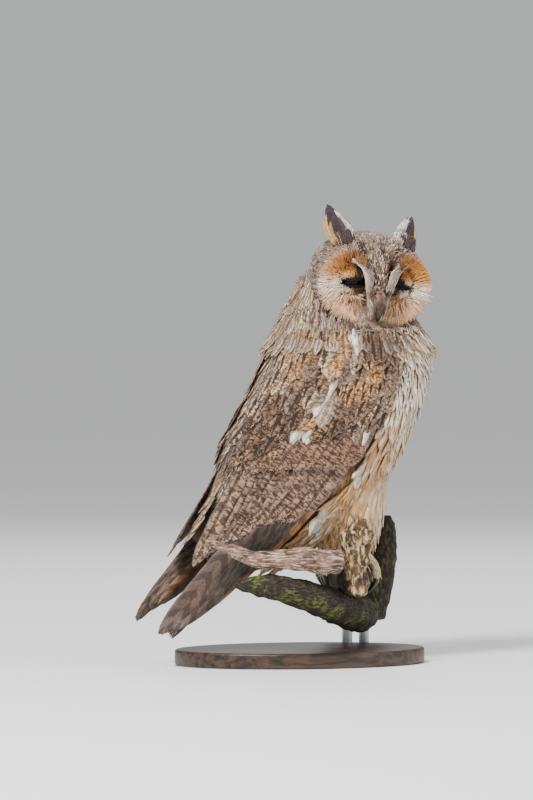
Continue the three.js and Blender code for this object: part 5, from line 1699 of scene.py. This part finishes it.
# Stained oak has long dark grain under a thin satin lacquer.
plinthLook = dict(size=(98, 70, 12), bevel=2, dark="#1d1410", pale="#4b3526", roughness=0.42)
plinthMaterial, tree, shader = newMaterial("stained_oak_satin")
where = addNode(tree, "TexCoord").outputs["Object"]
stretched = addNode(tree, "Mapping", {"Vector": where, "Scale": (1.0, 14.0, 14.0)})
oak = addNode(tree, "TexNoise", {"Vector": stretched, "Scale": 22.0, "Detail": 6.0, "Distortion": 0.6})
oak = addNode(tree, "MapRange", {0: oak, 1: 0.35, 2: 0.65}, interpolation_type="SMOOTHSTEP")
oak = addNode(tree, "Mix", {0: oak, 6: hexColour(plinthLook["dark"]), 7: hexColour(plinthLook["pale"])},
              data_type="RGBA")
setInputs(shader, {"Base Color": oak, "Roughness": plinthLook["roughness"]})

# Drawn steel rod has fine draw marks and soft highlights.
steelLook = dict(dark="#8d9092", pale="#b9bcbd", patch=1.0, detail=3.0, roughness=0.34, metallic=1.0)
steelMaterial = twoToneMaterial("drawn_steel", steelLook)
rods = dict(radius=4, length=17.6, middle=21.1, places=dict(front=(68, 42), rear=(52, 36)))

width, depth, height = plinthLook["size"]
bpy.ops.object.select_all(action="DESELECT")
bpy.ops.mesh.primitive_cylinder_add(vertices=128, radius=1, depth=height * mm,
                                    location=(0, 0, height / 2 * mm))
plinth = bpy.context.object
plinth.name = "plinth"
plinth.scale = (width * mm, depth * mm, 1)
bpy.ops.object.transform_apply(location=True, rotation=True, scale=True)
applyModifier(plinth, "BEVEL", width=plinthLook["bevel"] * mm, segments=4, limit_method="ANGLE")
bpy.ops.object.shade_smooth_by_angle(angle=math.radians(35))
settle(plinth, "plinth", plinthMaterial, "stand_base")
for name, (x, y) in rods["places"].items():
    bpy.ops.object.select_all(action="DESELECT")
    bpy.ops.mesh.primitive_cylinder_add(vertices=48, radius=rods["radius"] * mm, depth=rods["length"] * mm,
                                        location=(x * mm, y * mm, rods["middle"] * mm))
    rod = bpy.context.object
    rod.name = f"rod_{name}"
    bpy.ops.object.transform_apply(location=True, rotation=True, scale=True)
    bpy.ops.object.shade_smooth_by_angle(angle=math.radians(35))
    settle(rod, "steel", steelMaterial, f"stand_rod_{name}")
print("stand done")


# Floor, light and camera

studio = dict(floor="#fdfdfc", world="#e4e6e6", worldStrength=0.66)
softBoxes = [  # name, place, aim, size in metres and power in watts
    ("key", (-1.3, -1.3, 1.9), (0, 0, 0.18), 0.6, 96),
    ("fill", (1.6, -1.2, 0.9), (0, 0, 0.18), 1.4, 12),
    ("back", (0.6, 1.6, 1.6), (0, 0, 0.2), 1.0, 16),
]
view = dict(azimuth=-20, elevation=1.0, distance=4.2, across=-25.5, height=200.4, frameHeight=608.0)

bpy.ops.object.select_all(action="DESELECT")
bpy.ops.mesh.primitive_plane_add(size=60, location=(0, 0, 0))
floor = bpy.context.object
floor.name = "floor"
floorMaterial, tree, shader = newMaterial("pale_floor")
setInputs(shader, {"Base Color": hexColour(studio["floor"]), "Roughness": 0.9})
floor.data.materials.append(floorMaterial)

world = bpy.data.worlds.new("studio")
bpy.context.scene.world = world
world.use_nodes = True
setInputs(world.node_tree.nodes["Background"], {0: hexColour(studio["world"]), 1: studio["worldStrength"]})

for name, place, aim, size, power in softBoxes:
    light = bpy.data.lights.new(name, "AREA")
    light.size = size
    light.energy = power
    lamp = bpy.data.objects.new(name, light)
    lamp.location = place
    lamp.rotation_euler = (Vector(aim) - Vector(place)).to_track_quat("-Z", "Y").to_euler()
    bpy.context.scene.collection.objects.link(lamp)

azimuth, elevation = math.radians(view["azimuth"]), math.radians(view["elevation"])
level = math.cos(elevation)
rightward = Vector((math.cos(azimuth), math.sin(azimuth), 0))
forward = Vector((-math.sin(azimuth) * level, math.cos(azimuth) * level, -math.sin(elevation)))
target = rightward * view["across"] * mm + Vector((0, 0, view["height"] * mm))
cameraData = bpy.data.cameras.new("camera")
cameraData.sensor_fit = "VERTICAL"
cameraData.sensor_height = 36
cameraData.lens = 36 * view["distance"] / (view["frameHeight"] * mm)
camera = bpy.data.objects.new("camera", cameraData)
camera.location = target - forward * view["distance"]
camera.rotation_euler = forward.to_track_quat("-Z", "Y").to_euler()
bpy.context.scene.collection.objects.link(camera)
bpy.context.scene.camera = camera
